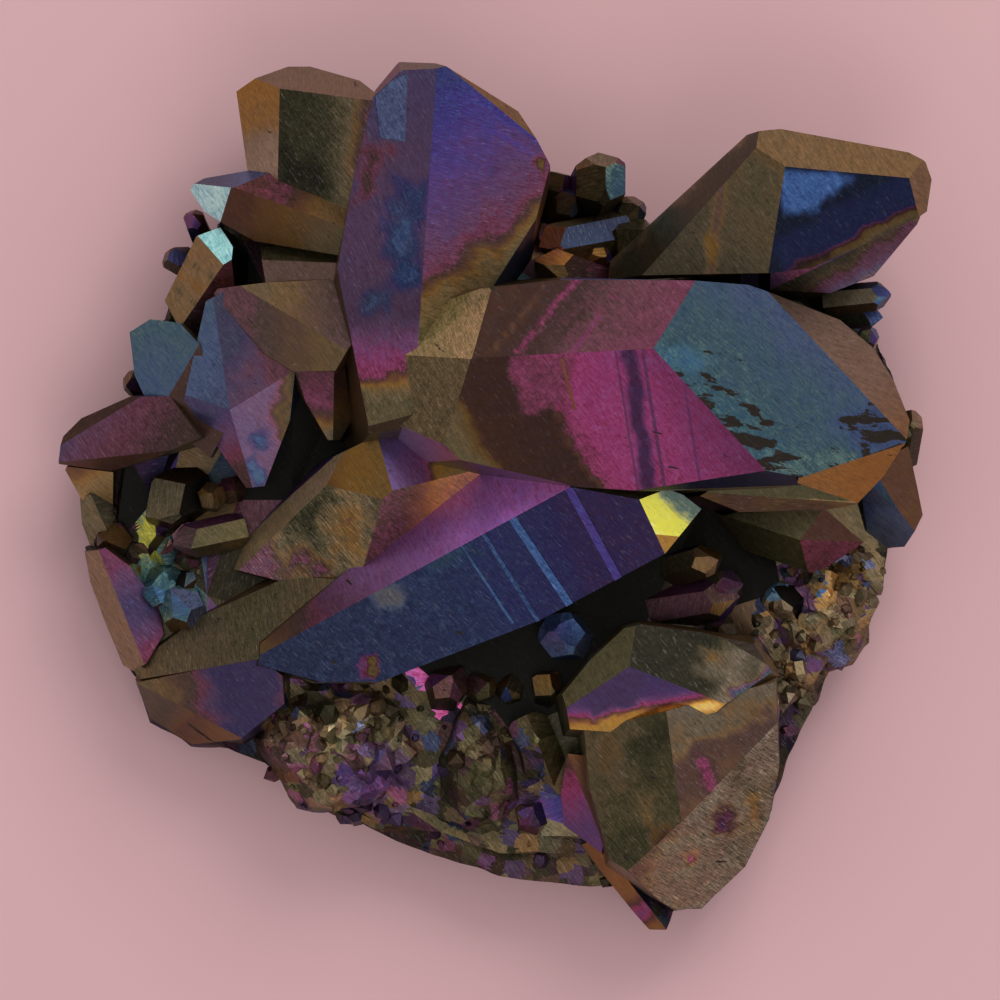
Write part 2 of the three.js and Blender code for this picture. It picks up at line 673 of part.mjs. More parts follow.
const SMALL_CRYSTALS = [
  // crevice above the main crystal
  { foot: [8.6, 29, 6], tip: [10.6, 33.2, 20.5], width: 5.4, roll: 10 },
  { foot: [12.5, 27, 13], tip: [3.2, 25.2, 16.5], width: 4, roll: 5 },
  { foot: [10.5, 21, 15], tip: [2.8, 24, 19.6], width: 4.6, roll: 20 },
  { foot: [11, 24.5, 10], tip: [14.6, 27.4, 17.5], width: 4.2, roll: 40 },
  { foot: [12, 28, 10], tip: [14, 29.8, 15.5], width: 3, roll: 0 },
  { foot: [5, 28, 9], tip: [7.6, 30.4, 16.5], width: 3, roll: 25 },
  { foot: [3.8, 29, 9], tip: [6.6, 32.8, 15], width: 2.8, roll: 12 },
  { foot: [12.5, 22, 12], tip: [13.6, 23.6, 19], width: 2.6, roll: 8 },
  { foot: [8.5, 24, 11], tip: [10.6, 24.2, 18], width: 2.4, roll: 50 },
  // right of the tan crystal
  { foot: [33, 20, 11], tip: [39.6, 20.6, 14.5], width: 2.8, roll: 0 },
  { foot: [33, 18.5, 10], tip: [38.8, 18.4, 12], width: 2.4, roll: 25 },
  { foot: [36.2, 14.5, 12], tip: [37.2, 17.4, 16.4], width: 2.2, roll: 40 },
  { foot: [40.4, 4, 9], tip: [41.4, 9.4, 13.2], width: 2.8, roll: 15 },
  { foot: [36, 8, 10], tip: [41.6, 6.6, 14.2], width: 3, roll: 15 },
  // crevice between the blade and the broken mass
  { foot: [7.5, -14, 9], tip: [5.2, -13.2, 17.5], width: 4.6, roll: 20 },
  { foot: [-6, -20.5, 8], tip: [-4.6, -17, 15], width: 4.2, roll: 30 },
  { foot: [-3, -20, 8], tip: [-1.2, -18, 14], width: 3, roll: 0 },
  { foot: [1.5, -20, 8], tip: [0.6, -18.4, 13.8], width: 2.8, roll: 40 },
  { foot: [4.5, -21, 8], tip: [4.8, -17.4, 14.5], width: 3, roll: 15 },
  { foot: [5, -28, 8], tip: [2.4, -21, 16], width: 4.4, roll: 12 },
  { foot: [19.5, -9, 9], tip: [24.6, -8.6, 15], width: 3.6, roll: 10 },
  { foot: [17.5, -7, 10], tip: [22, -5.6, 15.8], width: 3.4, roll: 30 },
  { foot: [15.5, -11, 9], tip: [24.4, -9.6, 14.6], width: 4.2, roll: 4 },
  { foot: [29.5, -12, 8], tip: [27.6, -8.6, 14], width: 3.8, roll: 22 },
  { foot: [31, -15, 7], tip: [28.6, -11.8, 12.5], width: 3.8, roll: 8 },
  { foot: [22.5, -14, 9], tip: [22, -12.4, 15], width: 3, roll: 14 },
  // lower edge
  { foot: [3, -33, 6], tip: [3.6, -30.4, 11.5], width: 3.6, roll: 18 },
  { foot: [0, -34, 5], tip: [1.4, -35.6, 8.6], width: 3, roll: 0 },
  { foot: [6, -35, 5], tip: [7.4, -36.4, 8], width: 2.8, roll: 33 },
  { foot: [-13.6, -29, 4], tip: [-16, -33.2, 7], width: 4.4, roll: 7 },
  { foot: [-3.6, -30, 4], tip: [-4.4, -34.6, 8], width: 3.8, roll: 21 },
  // nest of crystals inside the left edge
  { foot: [-30.5, 1, 9], tip: [-36.4, -1.4, 13.6], width: 5.4, roll: 10 },
  { foot: [-29, 0, 8], tip: [-28.8, 0.6, 14.6], width: 2.8, roll: 20 },
  { foot: [-27, 1, 8], tip: [-26.8, 1, 13.4], width: 2.8, roll: 45 },
  { foot: [-26, -3, 10], tip: [-33.4, -4.6, 13.2], width: 3.4, roll: 2 },
  { foot: [-33, -5, 8], tip: [-34.6, -5, 12.4], width: 3.2, roll: 12 },
  { foot: [-33, -10, 7], tip: [-35, -8.2, 13], width: 3.6, roll: 26 },
  { foot: [-30.5, -13, 7], tip: [-33.2, -8.6, 12.8], width: 4.6, roll: 5 },
  { foot: [-38, -4, 6], tip: [-39.6, -4, 11.5], width: 3.6, roll: 15 },
  { foot: [-35.6, 12, 8], tip: [-37.6, 11.4, 11.6], width: 2.6, roll: 0 },
  { foot: [-31, 24, 8], tip: [-33.4, 24, 13], width: 2.6, roll: 30 },
  { foot: [-29.8, 26, 8], tip: [-30.9, 28.8, 13.5], width: 2.2, roll: 10 },
];

// ---------- rough masses: uneven lumps, and stubby knobs crowded over a dome ----------

const ROUGH_MASSES = [
  { centre: [-15.8, -24, 7.4], radii: [8.2, 7.6, 7.6], seed: 3, rough: 0.14 },
  { centre: [-2, -26, 7.6], radii: [4.4, 7.4, 7.6], seed: 8, rough: 0.14 },
  { centre: [32.6, -11, 6], radii: [5.4, 6.4, 6.2], seed: 12, rough: 0.16 },
  { centre: [29, -17.6, 5.5], radii: [3.4, 4.8, 5.4], seed: 21, rough: 0.16 },
  { centre: [3, -34, 4.5], radii: [7.6, 2.6, 4], seed: 31, rough: 0.14 },
  { centre: [-10, -31, 5], radii: [7, 2, 4], seed: 37, rough: 0.14 },
];

const KNOB_DOMES = [
  { centre: [-15.8, -24, 7], radii: [8, 7.4, 8], count: 34, width: [2.4, 4.6], seed: 41 },
  { centre: [-2, -26.6, 7], radii: [4, 6.8, 8], count: 12, width: [2.2, 3.8], seed: 42 },
  { centre: [32.6, -10.5, 5.5], radii: [5.2, 6.2, 6.8], count: 16, width: [2.4, 4.2], seed: 43 },
  { centre: [29, -17.6, 5], radii: [3, 4.6, 6], count: 8, width: [2, 3.4], seed: 44 },
  { centre: [2, -33.4, 4.5], radii: [8, 2.4, 4.4], count: 10, width: [2, 3.4], seed: 45 },
  { centre: [8.4, 27.2, 7.5], radii: [6.4, 4, 5.5], count: 9, width: [2.2, 3.2], seed: 46 },
  { centre: [-32.4, -6, 6.5], radii: [4.6, 6.6, 5], count: 11, width: [2.2, 3.4], seed: 47 },
];

/** Stubby crystals crowded over a dome, each leaning its own way. */
function knobs({ centre, radii, count, width, seed }) {
  const random = randomFrom(seed);
  const golden = Math.PI * (3 - Math.sqrt(5));
  return Array.from({ length: count }, (_, index) => {
    const spread = Math.sqrt((index + 0.5) / count) * KNOB_COVER;
    const angle = index * golden + 0.5 * random();
    const across = new THREE.Vector3(spread * Math.cos(angle), spread * Math.sin(angle), 0);
    across.z = Math.sqrt(1 - spread * spread);
    const place = across.clone().multiply(new THREE.Vector3(...radii));
    const lean = new THREE.Vector3(random() - 0.5, random() - 0.5, random() - 0.5);
    const axis = across.divide(new THREE.Vector3(...radii)).normalize();
    axis.addScaledVector(lean, KNOB_LEAN).normalize();
    const size = width[0] + (width[1] - width[0]) * random();
    const tip = place.clone().addScaledVector(axis, KNOB_STAND * size);
    const foot = tip.clone().addScaledVector(axis, -KNOB_LENGTH * size);
    const seat = new THREE.Vector3(...centre);
    return quartzPoint({
      foot: foot.add(seat).toArray(),
      tip: tip.add(seat).toArray(),
      width: size,
      roll: 60 * random(),
      seed: seed * 100 + index,
    });
  });
}

// ---------- the specimen ----------

const large = [mainCrystal, mainFoot, blade, bladeRoot, bladeStub, slab, tanCrystal, tanTwin];
const medium = [
  oliveCorner, plumPoint, flashPoint, tealPlate, mauvePlate, mauveBlock, mauveShelf, magentaStub,
  goldShoulder, mauveEdge, tanWedge, leftBud, leftRim, stripedBar, maroonPoint, maroonEdge,
  brokenUpper, brokenLower, orangeSliver, lowerSliver,
];
const small = SMALL_CRYSTALS.map((shape, index) => quartzPoint({ ...shape, seed: 100 + index }));
const lumps = ROUGH_MASSES.map(lump);
const knobbly = KNOB_DOMES.flatMap(knobs);

let cluster = matrix();
for (const piece of [...large, ...medium, ...small, ...lumps, ...knobbly]) {
  cluster = cluster.add(piece);
}
cluster = cluster.trimByPlane([0, 0, 1], 0).simplify(CLEAN_UP);

// Pockets sealed in between the crystals are filled: only the outer skin is kept.
const skins = cluster.decompose().sort((a, b) => b.volume() - a.volume());
if (skins.length > 1 && skins[1].volume() > 0) throw new Error("a crystal stands clear of the rest");
cluster = skins[0];

// The origin is the middle of the specimen's box, at the level it rests on.
const { min, max } = cluster.boundingBox();
cluster = cluster.translate([-(min[0] + max[0]) / 2, -(min[1] + max[1]) / 2, -min[2]]);

const { vertProperties, triVerts } = cluster.getMesh();
const joined = new THREE.BufferGeometry();
joined.setAttribute("position", new THREE.BufferAttribute(new Float32Array(vertProperties), 3));
joined.setIndex(new THREE.BufferAttribute(new Uint32Array(triVerts), 1));
const faceted = joined.toNonIndexed(); // every face keeps its own flat shading
faceted.computeVertexNormals();

const coatedQuartz = new THREE.MeshStandardMaterial({
  color: 0x5c5140,
  metalness: 0.7,
  roughness: 0.42,
});

const quartzCluster = new THREE.Mesh(faceted, coatedQuartz);
quartzCluster.name = "quartz_cluster";

const specimen = new THREE.Group();
specimen.add(quartzCluster);

export default specimen;
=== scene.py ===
# %% [markdown]
# # An aura quartz cluster
#
# Aura quartz is ordinary rock crystal that has been heated in a vacuum while a vapour of titanium
# settles on it. The coat is far thinner than a hair, and light that bounces off its top and its
# bottom interferes, so the colour tells how thick the coat is. This lesson dresses a measured solid
# of such a cluster: first its faces are found and named, then each face gets its own coat, and last
# come the rough rock, the druse of tiny crystals, the light and the camera.

# %% Load the measured solid
import math
import random

import bmesh
import bpy
from mathutils import Euler, Matrix, Vector, noise
from mathutils.bvhtree import BVHTree


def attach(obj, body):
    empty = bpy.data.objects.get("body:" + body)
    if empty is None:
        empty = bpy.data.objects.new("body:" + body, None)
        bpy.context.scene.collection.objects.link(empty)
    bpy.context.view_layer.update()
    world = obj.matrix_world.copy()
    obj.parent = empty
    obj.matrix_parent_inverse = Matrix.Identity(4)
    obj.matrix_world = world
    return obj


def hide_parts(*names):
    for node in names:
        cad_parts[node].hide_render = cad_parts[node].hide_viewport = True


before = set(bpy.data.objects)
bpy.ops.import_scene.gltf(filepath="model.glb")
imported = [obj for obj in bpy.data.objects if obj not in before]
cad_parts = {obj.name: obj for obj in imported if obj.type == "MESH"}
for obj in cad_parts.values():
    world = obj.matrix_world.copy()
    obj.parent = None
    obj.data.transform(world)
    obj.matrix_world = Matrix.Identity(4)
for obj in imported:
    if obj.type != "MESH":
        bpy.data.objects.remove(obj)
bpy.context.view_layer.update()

MM = 0.001  # one millimetre, in Blender's metres

# %% [markdown]
# ## Places on the plan
#
# The cluster is looked at from straight above, so a face is easiest to name by a place on the plan:
# millimetres to the right of and above the middle of the view. The solid's own zero is a little to
# one side of that, because it is the middle of the solid's box. Blender's operators act on whatever
# is selected, so two helpers keep the selection clean.

# %% The plan
PLAN_ZERO = Vector((0.582, -0.2, 0.0)) * MM


def plan(x, y, z=0.0):
    """A place on the plan, in millimetres, as a point of the scene."""
    return Vector((x, y, z)) * MM + PLAN_ZERO


def deselect():
    """Clears the selection, because an operator acts on everything that is selected."""
    for item in bpy.context.selected_objects:
        item.select_set(False)


def pick(item):
    """Selects one object alone and makes it active."""
    deselect()
    item.select_set(True)
    bpy.context.view_layer.objects.active = item


print("middle of the view, mm:", [round(v / MM, 3) for v in plan(0.0, 0.0)])

# %% [markdown]
# ## A copy to work on
#
# The solid stays as it is, for weighing and for collisions. The piece that is seen is a copy of its
# mesh. The copy's loose triangles are merged, and triangles that lie in one plane are dissolved into
# the many-cornered faces that a crystal really has. The normals that came with the mesh are cleared,
# because faces that are divided later would shade wrongly with them.

# %% Copy the solid and merge it
SAME_PLACE = 0.002 * MM  # corners closer than this are one corner
SAME_PLANE = math.radians(0.4)

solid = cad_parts["quartz_cluster"]
cluster = bpy.data.objects.new("coated_cluster", solid.data.copy())
bpy.context.scene.collection.objects.link(cluster)
cluster.data.materials.clear()
pick(cluster)
bpy.ops.mesh.customdata_custom_splitnormals_clear()
bpy.ops.object.mode_set(mode="EDIT")
bpy.ops.mesh.select_all(action="SELECT")
bpy.ops.mesh.remove_doubles(threshold=SAME_PLACE)
bpy.ops.mesh.dissolve_limited(angle_limit=SAME_PLANE)
bpy.ops.object.mode_set(mode="OBJECT")
print("faces after dissolving:", len(cluster.data.polygons))

# %% [markdown]
# ## Number the crystal faces
#
# Dissolving may leave one crystal face in several pieces. Neighbours that look the same way belong
# to one crystal face, so a number is spread from face to face across every edge that doesn't bend.
# The number is kept as an attribute, which survives all later cutting.

# %% Number them
FLAT = math.cos(math.radians(1.2))  # faces that bend less than this are one crystal face
NO_NUMBER = -1
ABOVE = 90.0  # mm: a height that clears the whole cluster

bm = bmesh.new()
bm.from_mesh(cluster.data)
bm.normal_update()
face_number = bm.faces.layers.int.new("crystal_face")
for face in bm.faces:
    face[face_number] = NO_NUMBER
count = 0
for first in bm.faces:
    if first[face_number] != NO_NUMBER:
        continue
    first[face_number] = count
    waiting = [first]
    while waiting:
        for edge in waiting.pop().edges:
            for other in edge.link_faces:
                if other[face_number] == NO_NUMBER and other.normal.dot(first.normal) > FLAT:
                    other[face_number] = count
                    waiting.append(other)
    count += 1
bm.to_mesh(cluster.data)
from_above = BVHTree.FromBMesh(bm)
bm.faces.ensure_lookup_table()


def number_at(x, y):
    """The number of the crystal face that shows at a place on the plan."""
    _, _, hit, _ = from_above.ray_cast(plan(x, y, ABOVE), Vector((0.0, 0.0, -1.0)))
    return bm.faces[hit][face_number]


print("crystal faces:", count)

# %% [markdown]
# ## Coats
#
# A coat is written in four numbers. Film is how thick the coating is, on a scale of the colours it
# runs through as it thickens. Tone is how brightly the face shows, partly its own brightness and
# partly painted light and shade for how the light falls on it. Dull is how much of a thin grey bloom
# lies over it, and worn is how much of it has rubbed away. Worn below nought keeps the coat whole. A
# coat could be a material of its own, but then it couldn't fade into the next one, so the coats are
# numbers on the mesh, and one material reads them all.

# %% The names of film thicknesses
FILM = {
    "bare": 0.00, "smoke": 0.08, "olive": 0.16, "tan": 0.24, "gold": 0.32, "rust": 0.38,
    "maroon": 0.43, "magenta": 0.49, "violet": 0.56, "indigo": 0.63, "navy": 0.70, "steel": 0.77,
    "teal": 0.84, "mint": 0.90, "lemon": 0.96, "straw": 1.00,
}


def coat(film, tone=1.0, dull=0.2, worn=0.0):
    """A coat as its four numbers; a film may be given by name."""
    return (FILM.get(film, film), tone, dull, worn)


print("films with a name:", len(FILM))

# %% [markdown]
# ## Dressing a face
#
# One call dresses one face. It says where the face is, which coats follow each other across it and
# which way, and what lies on it: stripes from spurts of growth, and patches.

# %% The helpers that dress a face
named = {}


def dress(place, *stops, towards=0.0, patches=(), rough=0.4, speckle=0.12, sway=0.5, lines=-50.0):
    """Gives the face at a place its coats: each stop is millimetres from the place, then a coat.

    Towards is which way, in degrees on the plan, the stops follow each other. Sway is how much the
    border between two coats wanders from a straight line. Rough is how rough the face is, speckle is
    how grainy it is and how strongly its painted glints show, and lines is which way, in degrees on
    the plan, its hairlines run.
    """
    if len(stops) == 1:
        stops = (stops[0], (stops[0][0] + 1.0, *stops[0][1:]))
    number = number_at(*place)
    if number in named:
        print("two coats for the face at", place)
    named[number] = {
        "place": Vector(place),
        "along": Vector((math.cos(math.radians(towards)), math.sin(math.radians(towards)))),
        "stops": [(stop[0], coat(*stop[1:])) for stop in stops],
        "patches": patches,
        "surface": (rough, speckle, lines / 180.0 + 1.0),
        "sway": sway,
    }


def patch(corners, *finish, lift=0.0, ragged=0.0):
    """A patch without inward corners. One that isn't ragged is cut with straight, sharp sides.

    Lift is how many millimetres it stands out of the face, and less than nought is a hollow.
    """
    return {
        "corners": [Vector(corner) for corner in corners],
        "coat": coat(*finish),
        "lift": lift,
        "ragged": ragged,
    }


def band(start, end, width, *finish, **more):
    """A stripe across a face, from one place on the plan to another."""
    a, b = Vector(start), Vector(end)
    side = (b - a).orthogonal().normalized() * (width / 2.0)
    return patch([a - side, b - side, b + side, a + side], *finish, **more)


print("a dull olive coat:", coat("olive", 0.9, 0.5))

# %% [markdown]
# ### The broad crystal
#
# The biggest crystal lies across the upper half. Its near prism face runs from brown through a thin
# orange line into strong magenta with a dark growth stripe. Its tip is grey teal, with the coat
# rubbed off in dark streaks along the lower edge.

# %% Dress the broad crystal
dress(
    (10, 19), (-13, 0.39, 0.40, 0.1), (-6, 0.41, 0.42, 0.1), (-3, 0.435, 0.46, 0.2),
    (0.5, 0.455, 0.6, 0.4), (6, 0.48, 0.56, 0.3), (9.5, 0.50, 0.6, 0.1),
    towards=-35, sway=0.5, lines=-40, speckle=0.08,
    patches=[
        band((8, 22.5), (1.6, 14.4), 0.5, 0.50, 0.7, 0.1, ragged=0.15),
        band((5.4, 22.5), (-1, 14.4), 0.3, 0.37, 0.6, 0.2, ragged=0.1),
        band((11, 22.5), (4.6, 14.4), 0.3, 0.42, 0.45, 0.2, ragged=0.1),
        band((13.4, 22.5), (7, 14.4), 0.4, 0.52, 0.6, 0.1, ragged=0.15),
    ],
)
dress(
    (9, 8), (-14, 0.18, 0.9, 0.15), (-11.4, 0.26, 0.7, 0.15), (-10, 0.40, 0.48, 0.1),
    (-3.2, 0.42, 0.48, 0.1), (-2.9, 0.38, 0.8, 0.1), (-2.5, 0.47, 1.2, 0.05), (0, 0.495, 1.4, 0.0),
    (6, 0.50, 1.3, 0.0), (9, 0.505, 0.95, 0.0), (12, 0.51, 0.75, 0.0),
    towards=30, sway=0.55, lines=-60,
    patches=[
        patch([(0.6, 14.6), (7.4, 14.6), (6.6, 9.6), (2.6, 8.6)], 0.47, 1.05, 0.15, ragged=0.5),
        band((12.7, 15), (15.2, 0), 1.4, 0.55, 0.38, 0.0, ragged=0.3),
        band((14.1, 15), (16.6, 0), 0.35, 0.53, 0.7, 0.1),
        band((11.4, 15), (13.9, 0), 0.25, 0.52, 0.8, 0.1),
        band((6.1, 14), (7.4, 9.0), 0.25, 0.37, 1.3, 0.05),
        band((18.2, 12), (20.2, 0), 0.3, 0.52, 0.75, 0.0),
    ],
)
dress(
    (26, 12), (-7.4, 0.84, 0.9, 0.1, 0.62), (-5, 0.84, 0.95, 0.1, 0.5), (-2.5, 0.84, 0.9, 0.2, 0.3),
    (0.5, 0.83, 0.9, 0.25, 0.0), (4, 0.81, 0.9, 0.3, -0.2), (9.8, 0.75, 0.85, 0.5, 0.1),
    towards=50, sway=1.2,
    patches=[
        patch(
            [(15.5, 15.6), (19, 14.9), (21.4, 13.7), (20, 12.6), (16.8, 13)],
            0.83, 1.3, 0.05, 0.1, ragged=0.5,
        ),
        patch([(33, 7.4), (37, 11), (43, 6), (39, 3.4)], 0.76, 0.75, 0.3, 0.55, ragged=1.0),
        band((24, 2.5), (36, 4.6), 1.6, 0.86, 0.9, 0.25, 0.3, ragged=0.6),
    ],
)
dress((35, 2.2), (-4, 0.30, 1.3, 0.0), (4, 0.33, 1.35, 0.05))
dress(
    (35, 16), (-9, 0.15, 0.5, 0.5), (-5, 0.17, 0.8, 0.8), (-1, 0.18, 1.3, 0.9), (6, 0.25, 1.15, 0.7),
    (12, 0.33, 1.0, 0.3), towards=-45, lines=-40,
)
dress((-4, 17), (-4, 0.17, 3.2, 0.15), (4, 0.20, 3.4, 0.2), lines=-45, speckle=0.35)
dress((-7, 10), (-4, 0.17, 1.1, 0.15), (4, 0.16, 1.3, 0.15), speckle=0.5)
dress((25, 2.2), (0, "navy", 0.35, 0.2))
print("faces dressed:", len(named))

# %% [markdown]
# ### The long blade
#
# The blade in front of it has a navy near face crossed by pale growth steps, which stand a tenth of
# a millimetre proud, and a far face that runs from olive to bright purple.

# %% Dress the blade
dress(
    (-5, -11), (-20, 0.70, 0.42, 0.25), (-3, 0.71, 0.48, 0.2), (5, 0.68, 0.55, 0.1),
    (12.5, 0.65, 0.45, 0.1), (14, 0.61, 0.36, 0.1), (24, 0.60, 0.34, 0.1),
    towards=23, sway=0.8, speckle=0.3,
    patches=[
        band((-4.2, -4), (1.3, -12.3), 0.25, 0.78, 0.9, 0.1, lift=0.06),
        band((-1.9, -3), (3.9, -12.2), 0.4, 0.74, 0.85, 0.1, lift=0.08),
        band((0.9, -1.3), (7.2, -10.8), 0.75, 0.76, 1.1, 0.05, lift=0.1),
        band((6.2, 2.4), (12.6, -9.3), 0.8, 0.625, 1.15, 0.05, lift=0.12),
        patch([(-7, -5.5), (-3.4, -3.6), (-2.6, -5), (-6.6, -7.2)], 0.80, 0.35, 0.2, ragged=0.8),
        patch(
            [(-14.4, -8.4), (-11, -8.1), (-9.4, -9.2), (-10, -10.8), (-12.2, -10.5)],
            0.80, 0.75, 0.95, ragged=0.5,
        ),
        patch(
            [(-14.5, -16.3), (-13.7, -15.4), (-12.5, -15.4), (-12, -16.8), (-12.5, -18.1), (-13.9, -18.1)],
            0.51, 0.6, 0.1, ragged=0.1,
        ),
        patch(
            [(-13.1, -15.5), (-12.4, -15.6), (-11.9, -16.8), (-12.5, -18), (-13.3, -17.6)],
            0.29, 0.55, 0.2, ragged=0.1,
        ),
    ],
)
# Painted light: the far end's tone climbs high where the broad crystal's shade falls on it.
dress(
    (-2, 0), (-28, 0.24, 0.6, 0.3), (-18, 0.54, 0.55, 0.4), (-9.5, 0.56, 1.5, 0.2),
    (0, 0.56, 3.0, 0.05), (5, 0.555, 6.0, 0.05), (10, 0.53, 7.0, 0.1), towards=30, sway=1.0,
)
dress(
    (16.8, -2), (-2, "lemon", 1.9, 0.0), (0.9, 0.955, 1.9, 0.0), (1.7, 0.90, 1.0, 0.45),
    (3.4, 0.88, 1.0, 0.55), rough=0.3, towards=45, speckle=0.0,
    patches=[patch([(13.4, -3.2), (19.4, -3.8), (19.4, -6.5), (13.4, -6.5)], 0.31, 2.4, 0.0)],
)
dress(
    (-30, -13), (-8, 0.28, 0.75, 0.4), (0, 0.22, 0.6, 0.35), (4, 0.18, 0.65, 0.2),
    (12, 0.24, 0.7, 0.3), towards=40, sway=1.0, lines=-65, speckle=0.4,
)
dress((-17.2, -8.6), (0, 0.36, 0.8, 0.45))
dress((-29.6, -4.2), (-4, 0.20, 0.6, 0.3), (4, 0.17, 1.1, 0.2))
dress(
    (-25.5, -19), (-9, 0.27, 0.9, 0.5), (-5, 0.44, 0.75, 0.5), (-2, 0.63, 0.6, 0.4),
    (3, 0.62, 0.6, 0.4), (5.5, 0.42, 0.7, 0.4), towards=10, sway=1.2, speckle=0.2,
)
dress(
    (-31.5, -22.6), (-4, 0.16, 0.7, 0.6), (-2, 0.18, 0.5, 0.3), (0, 0.37, 0.65, 0.1),
    (5, 0.30, 0.8, 0.1), towards=-40,
)
print("faces dressed:", len(named))

# %% [markdown]
# ### The slab
#
# The slab at the top has two broad faces. The right one fades from royal blue down to olive, and the
# left one is mauve, with etched blue hollows near the ridge.

# %% Dress the slab
dress(
    (-2, 31), (-12, 0.67, 1.0, 0.1), (-8.4, 0.64, 1.25, 0.05), (-4, 0.615, 1.25, 0.1),
    (-1, 0.585, 1.0, 0.15), (1.5, 0.555, 0.9, 0.3), (3.4, 0.50, 0.9, 0.35, -0.6),
    (4.6, 0.43, 0.95, 0.3, -0.6), (5.6, 0.34, 1.1, 0.2, -0.6), (6.8, 0.25, 1.2, 0.15, -0.6),
    (8.2, 0.18, 1.2, 0.15, -0.6), (11, 0.17, 1.1, 0.4, -0.6), (14, 0.74, 0.8, 0.5, -0.6),
    towards=-54, sway=0.9, lines=-24, speckle=0.3,
    patches=[
        patch([(3.2, 33.6), (4.4, 33.8), (4.2, 32.8)], 0.10, 0.6, 0.2, ragged=0.3),
        band((-1.6, 39.6), (4.6, 35.2), 0.5, 0.66, 1.5, 0.0, ragged=0.2),
        band((-1.6, 37.2), (3.4, 34.2), 0.3, 0.62, 1.5, 0.0, ragged=0.2),
    ],
)
dress(
    (-11, 27), (-15, 0.62, 0.8, 0.5), (-8, 0.59, 0.68, 0.5), (0, 0.57, 0.68, 0.45),
    (9, 0.57, 0.5, 0.5), (12.3, 0.51, 1.2, 0.1), (14, 0.48, 1.2, 0.1), (14.8, 0.34, 1.3, 0.1),
    (16.5, 0.20, 0.9, 0.2), towards=-85, sway=0.9, lines=-60, speckle=0.25,
    patches=[
        patch([(-13.4, 36), (-10.6, 35), (-12.2, 30.6), (-14.6, 30)], 0.44, 0.6, 0.4, ragged=1.2),
        patch([(-12.6, 41), (-9.2, 42.4), (-9.4, 35.6), (-12, 36)], 0.72, 1.25, 0.4, lift=-0.1),
        patch([(-9.8, 31.4), (-7.4, 31.6), (-7.2, 28.4), (-9.6, 27.6)], 0.70, 0.75, 0.15, ragged=0.7),
        patch([(-11.4, 28.6), (-8.6, 28.6), (-8.0, 24.6), (-11.6, 25.2)], 0.74, 0.85, 0.2, ragged=1.0),
        patch([(-11.4, 24.8), (-8.2, 25.0), (-8.4, 21.2), (-11.2, 21.4)], 0.72, 0.7, 0.1, ragged=1.0),
        patch([(-13.6, 20.4), (-11.0, 20.6), (-11.2, 18.6), (-13.4, 18.6)], 0.73, 0.7, 0.3, ragged=0.8),
    ],
)
dress((1.9, 38.0), (0, 0.28, 1.0, 0.4))
dress((-11.2, 7.4), (0, 0.20, 0.5, 0.2))
print("faces dressed:", len(named))

# %% [markdown]
# ### The tan crystal and its twin
#
# The crystal that stands out at the top right is tan on its sides. Its front face is almost black
# blue, with one clean patch of bright blue. The twin beneath it is striped.

# %% Dress the tan crystal and its twin
dress(
    (23, 28), (-7, 0.20, 0.46, 0.45), (-2, 0.21, 0.5, 0.4), (2, 0.25, 0.58, 0.3),
    (5, 0.28, 0.64, 0.25), towards=35, sway=0.8, speckle=0.25,
    patches=[
        band((22.8, 36), (20.8, 22), 0.9, 0.42, 0.95, 0.5, ragged=0.3),
        patch([(20.2, 26.4), (21.4, 26.6), (21.8, 24.0), (20.4, 23.4)], 0.31, 0.85, 0.0, ragged=0.3),
        patch([(24.5, 34), (28, 33), (27, 28), (24.2, 29)], 0.20, 0.62, 0.2, ragged=0.8),
    ],
)
dress((33, 34.8), (-5, 0.27, 0.95, 0.3), (5, 0.29, 1.0, 0.35))
dress(
    (34, 29), (-6, 0.70, 0.12, 0.05), (2.2, 0.69, 0.12, 0.1), (4.4, 0.19, 0.25, 0.1),
    (6, 0.18, 0.4, 0.2), towards=-60, speckle=0.1,
    patches=[
        patch(
            [(28, 33), (35.2, 32.3), (34, 31), (31.6, 28.9), (28, 28.5)],
            0.75, 1.15, 0.0, ragged=0.25,
        ),
        band((42, 31.8), (27.6, 24.2), 3.4, 0.675, 0.26, 0.0, ragged=0.4),
        band((42, 28.7), (33.6, 24.6), 0.9, 0.27, 0.5, 0.2, ragged=0.5),
    ],
)
dress((41.8, 31), (0, 0.28, 1.0, 0.55))
dress(
    (17.3, 28.2), (-4, 0.13, 0.3, 0.1), (0.6, 0.16, 0.5, 0.2), (1.4, 0.27, 0.9, 0.5),
    (4, 0.42, 1.1, 0.6), towards=135, sway=0.6,
)
# Painted light: this face lies in deep shade, so its tone is raised.
dress((35, 20.9), (0, "olive", 3.0, 0.8))
dress(
    (35.2, 23.3), (-2.6, 0.22, 0.3, 0.5), (-1.2, 0.18, 0.34, 0.6), (-0.2, 0.50, 0.6, 0.6),
    (0.8, 0.54, 0.8, 0.5), (1.6, 0.66, 1.2, 0.9), (2.4, 0.18, 1.0, 0.8), (4, 0.18, 0.9, 0.9),
    towards=-55, speckle=0.3,
    patches=[
        patch([(31.6, 20.6), (32.4, 20.2), (33.0, 18.8), (32.2, 18.8)], 0.56, 2.6, 0.0, ragged=0.2),
    ],
)
print("faces dressed:", len(named))
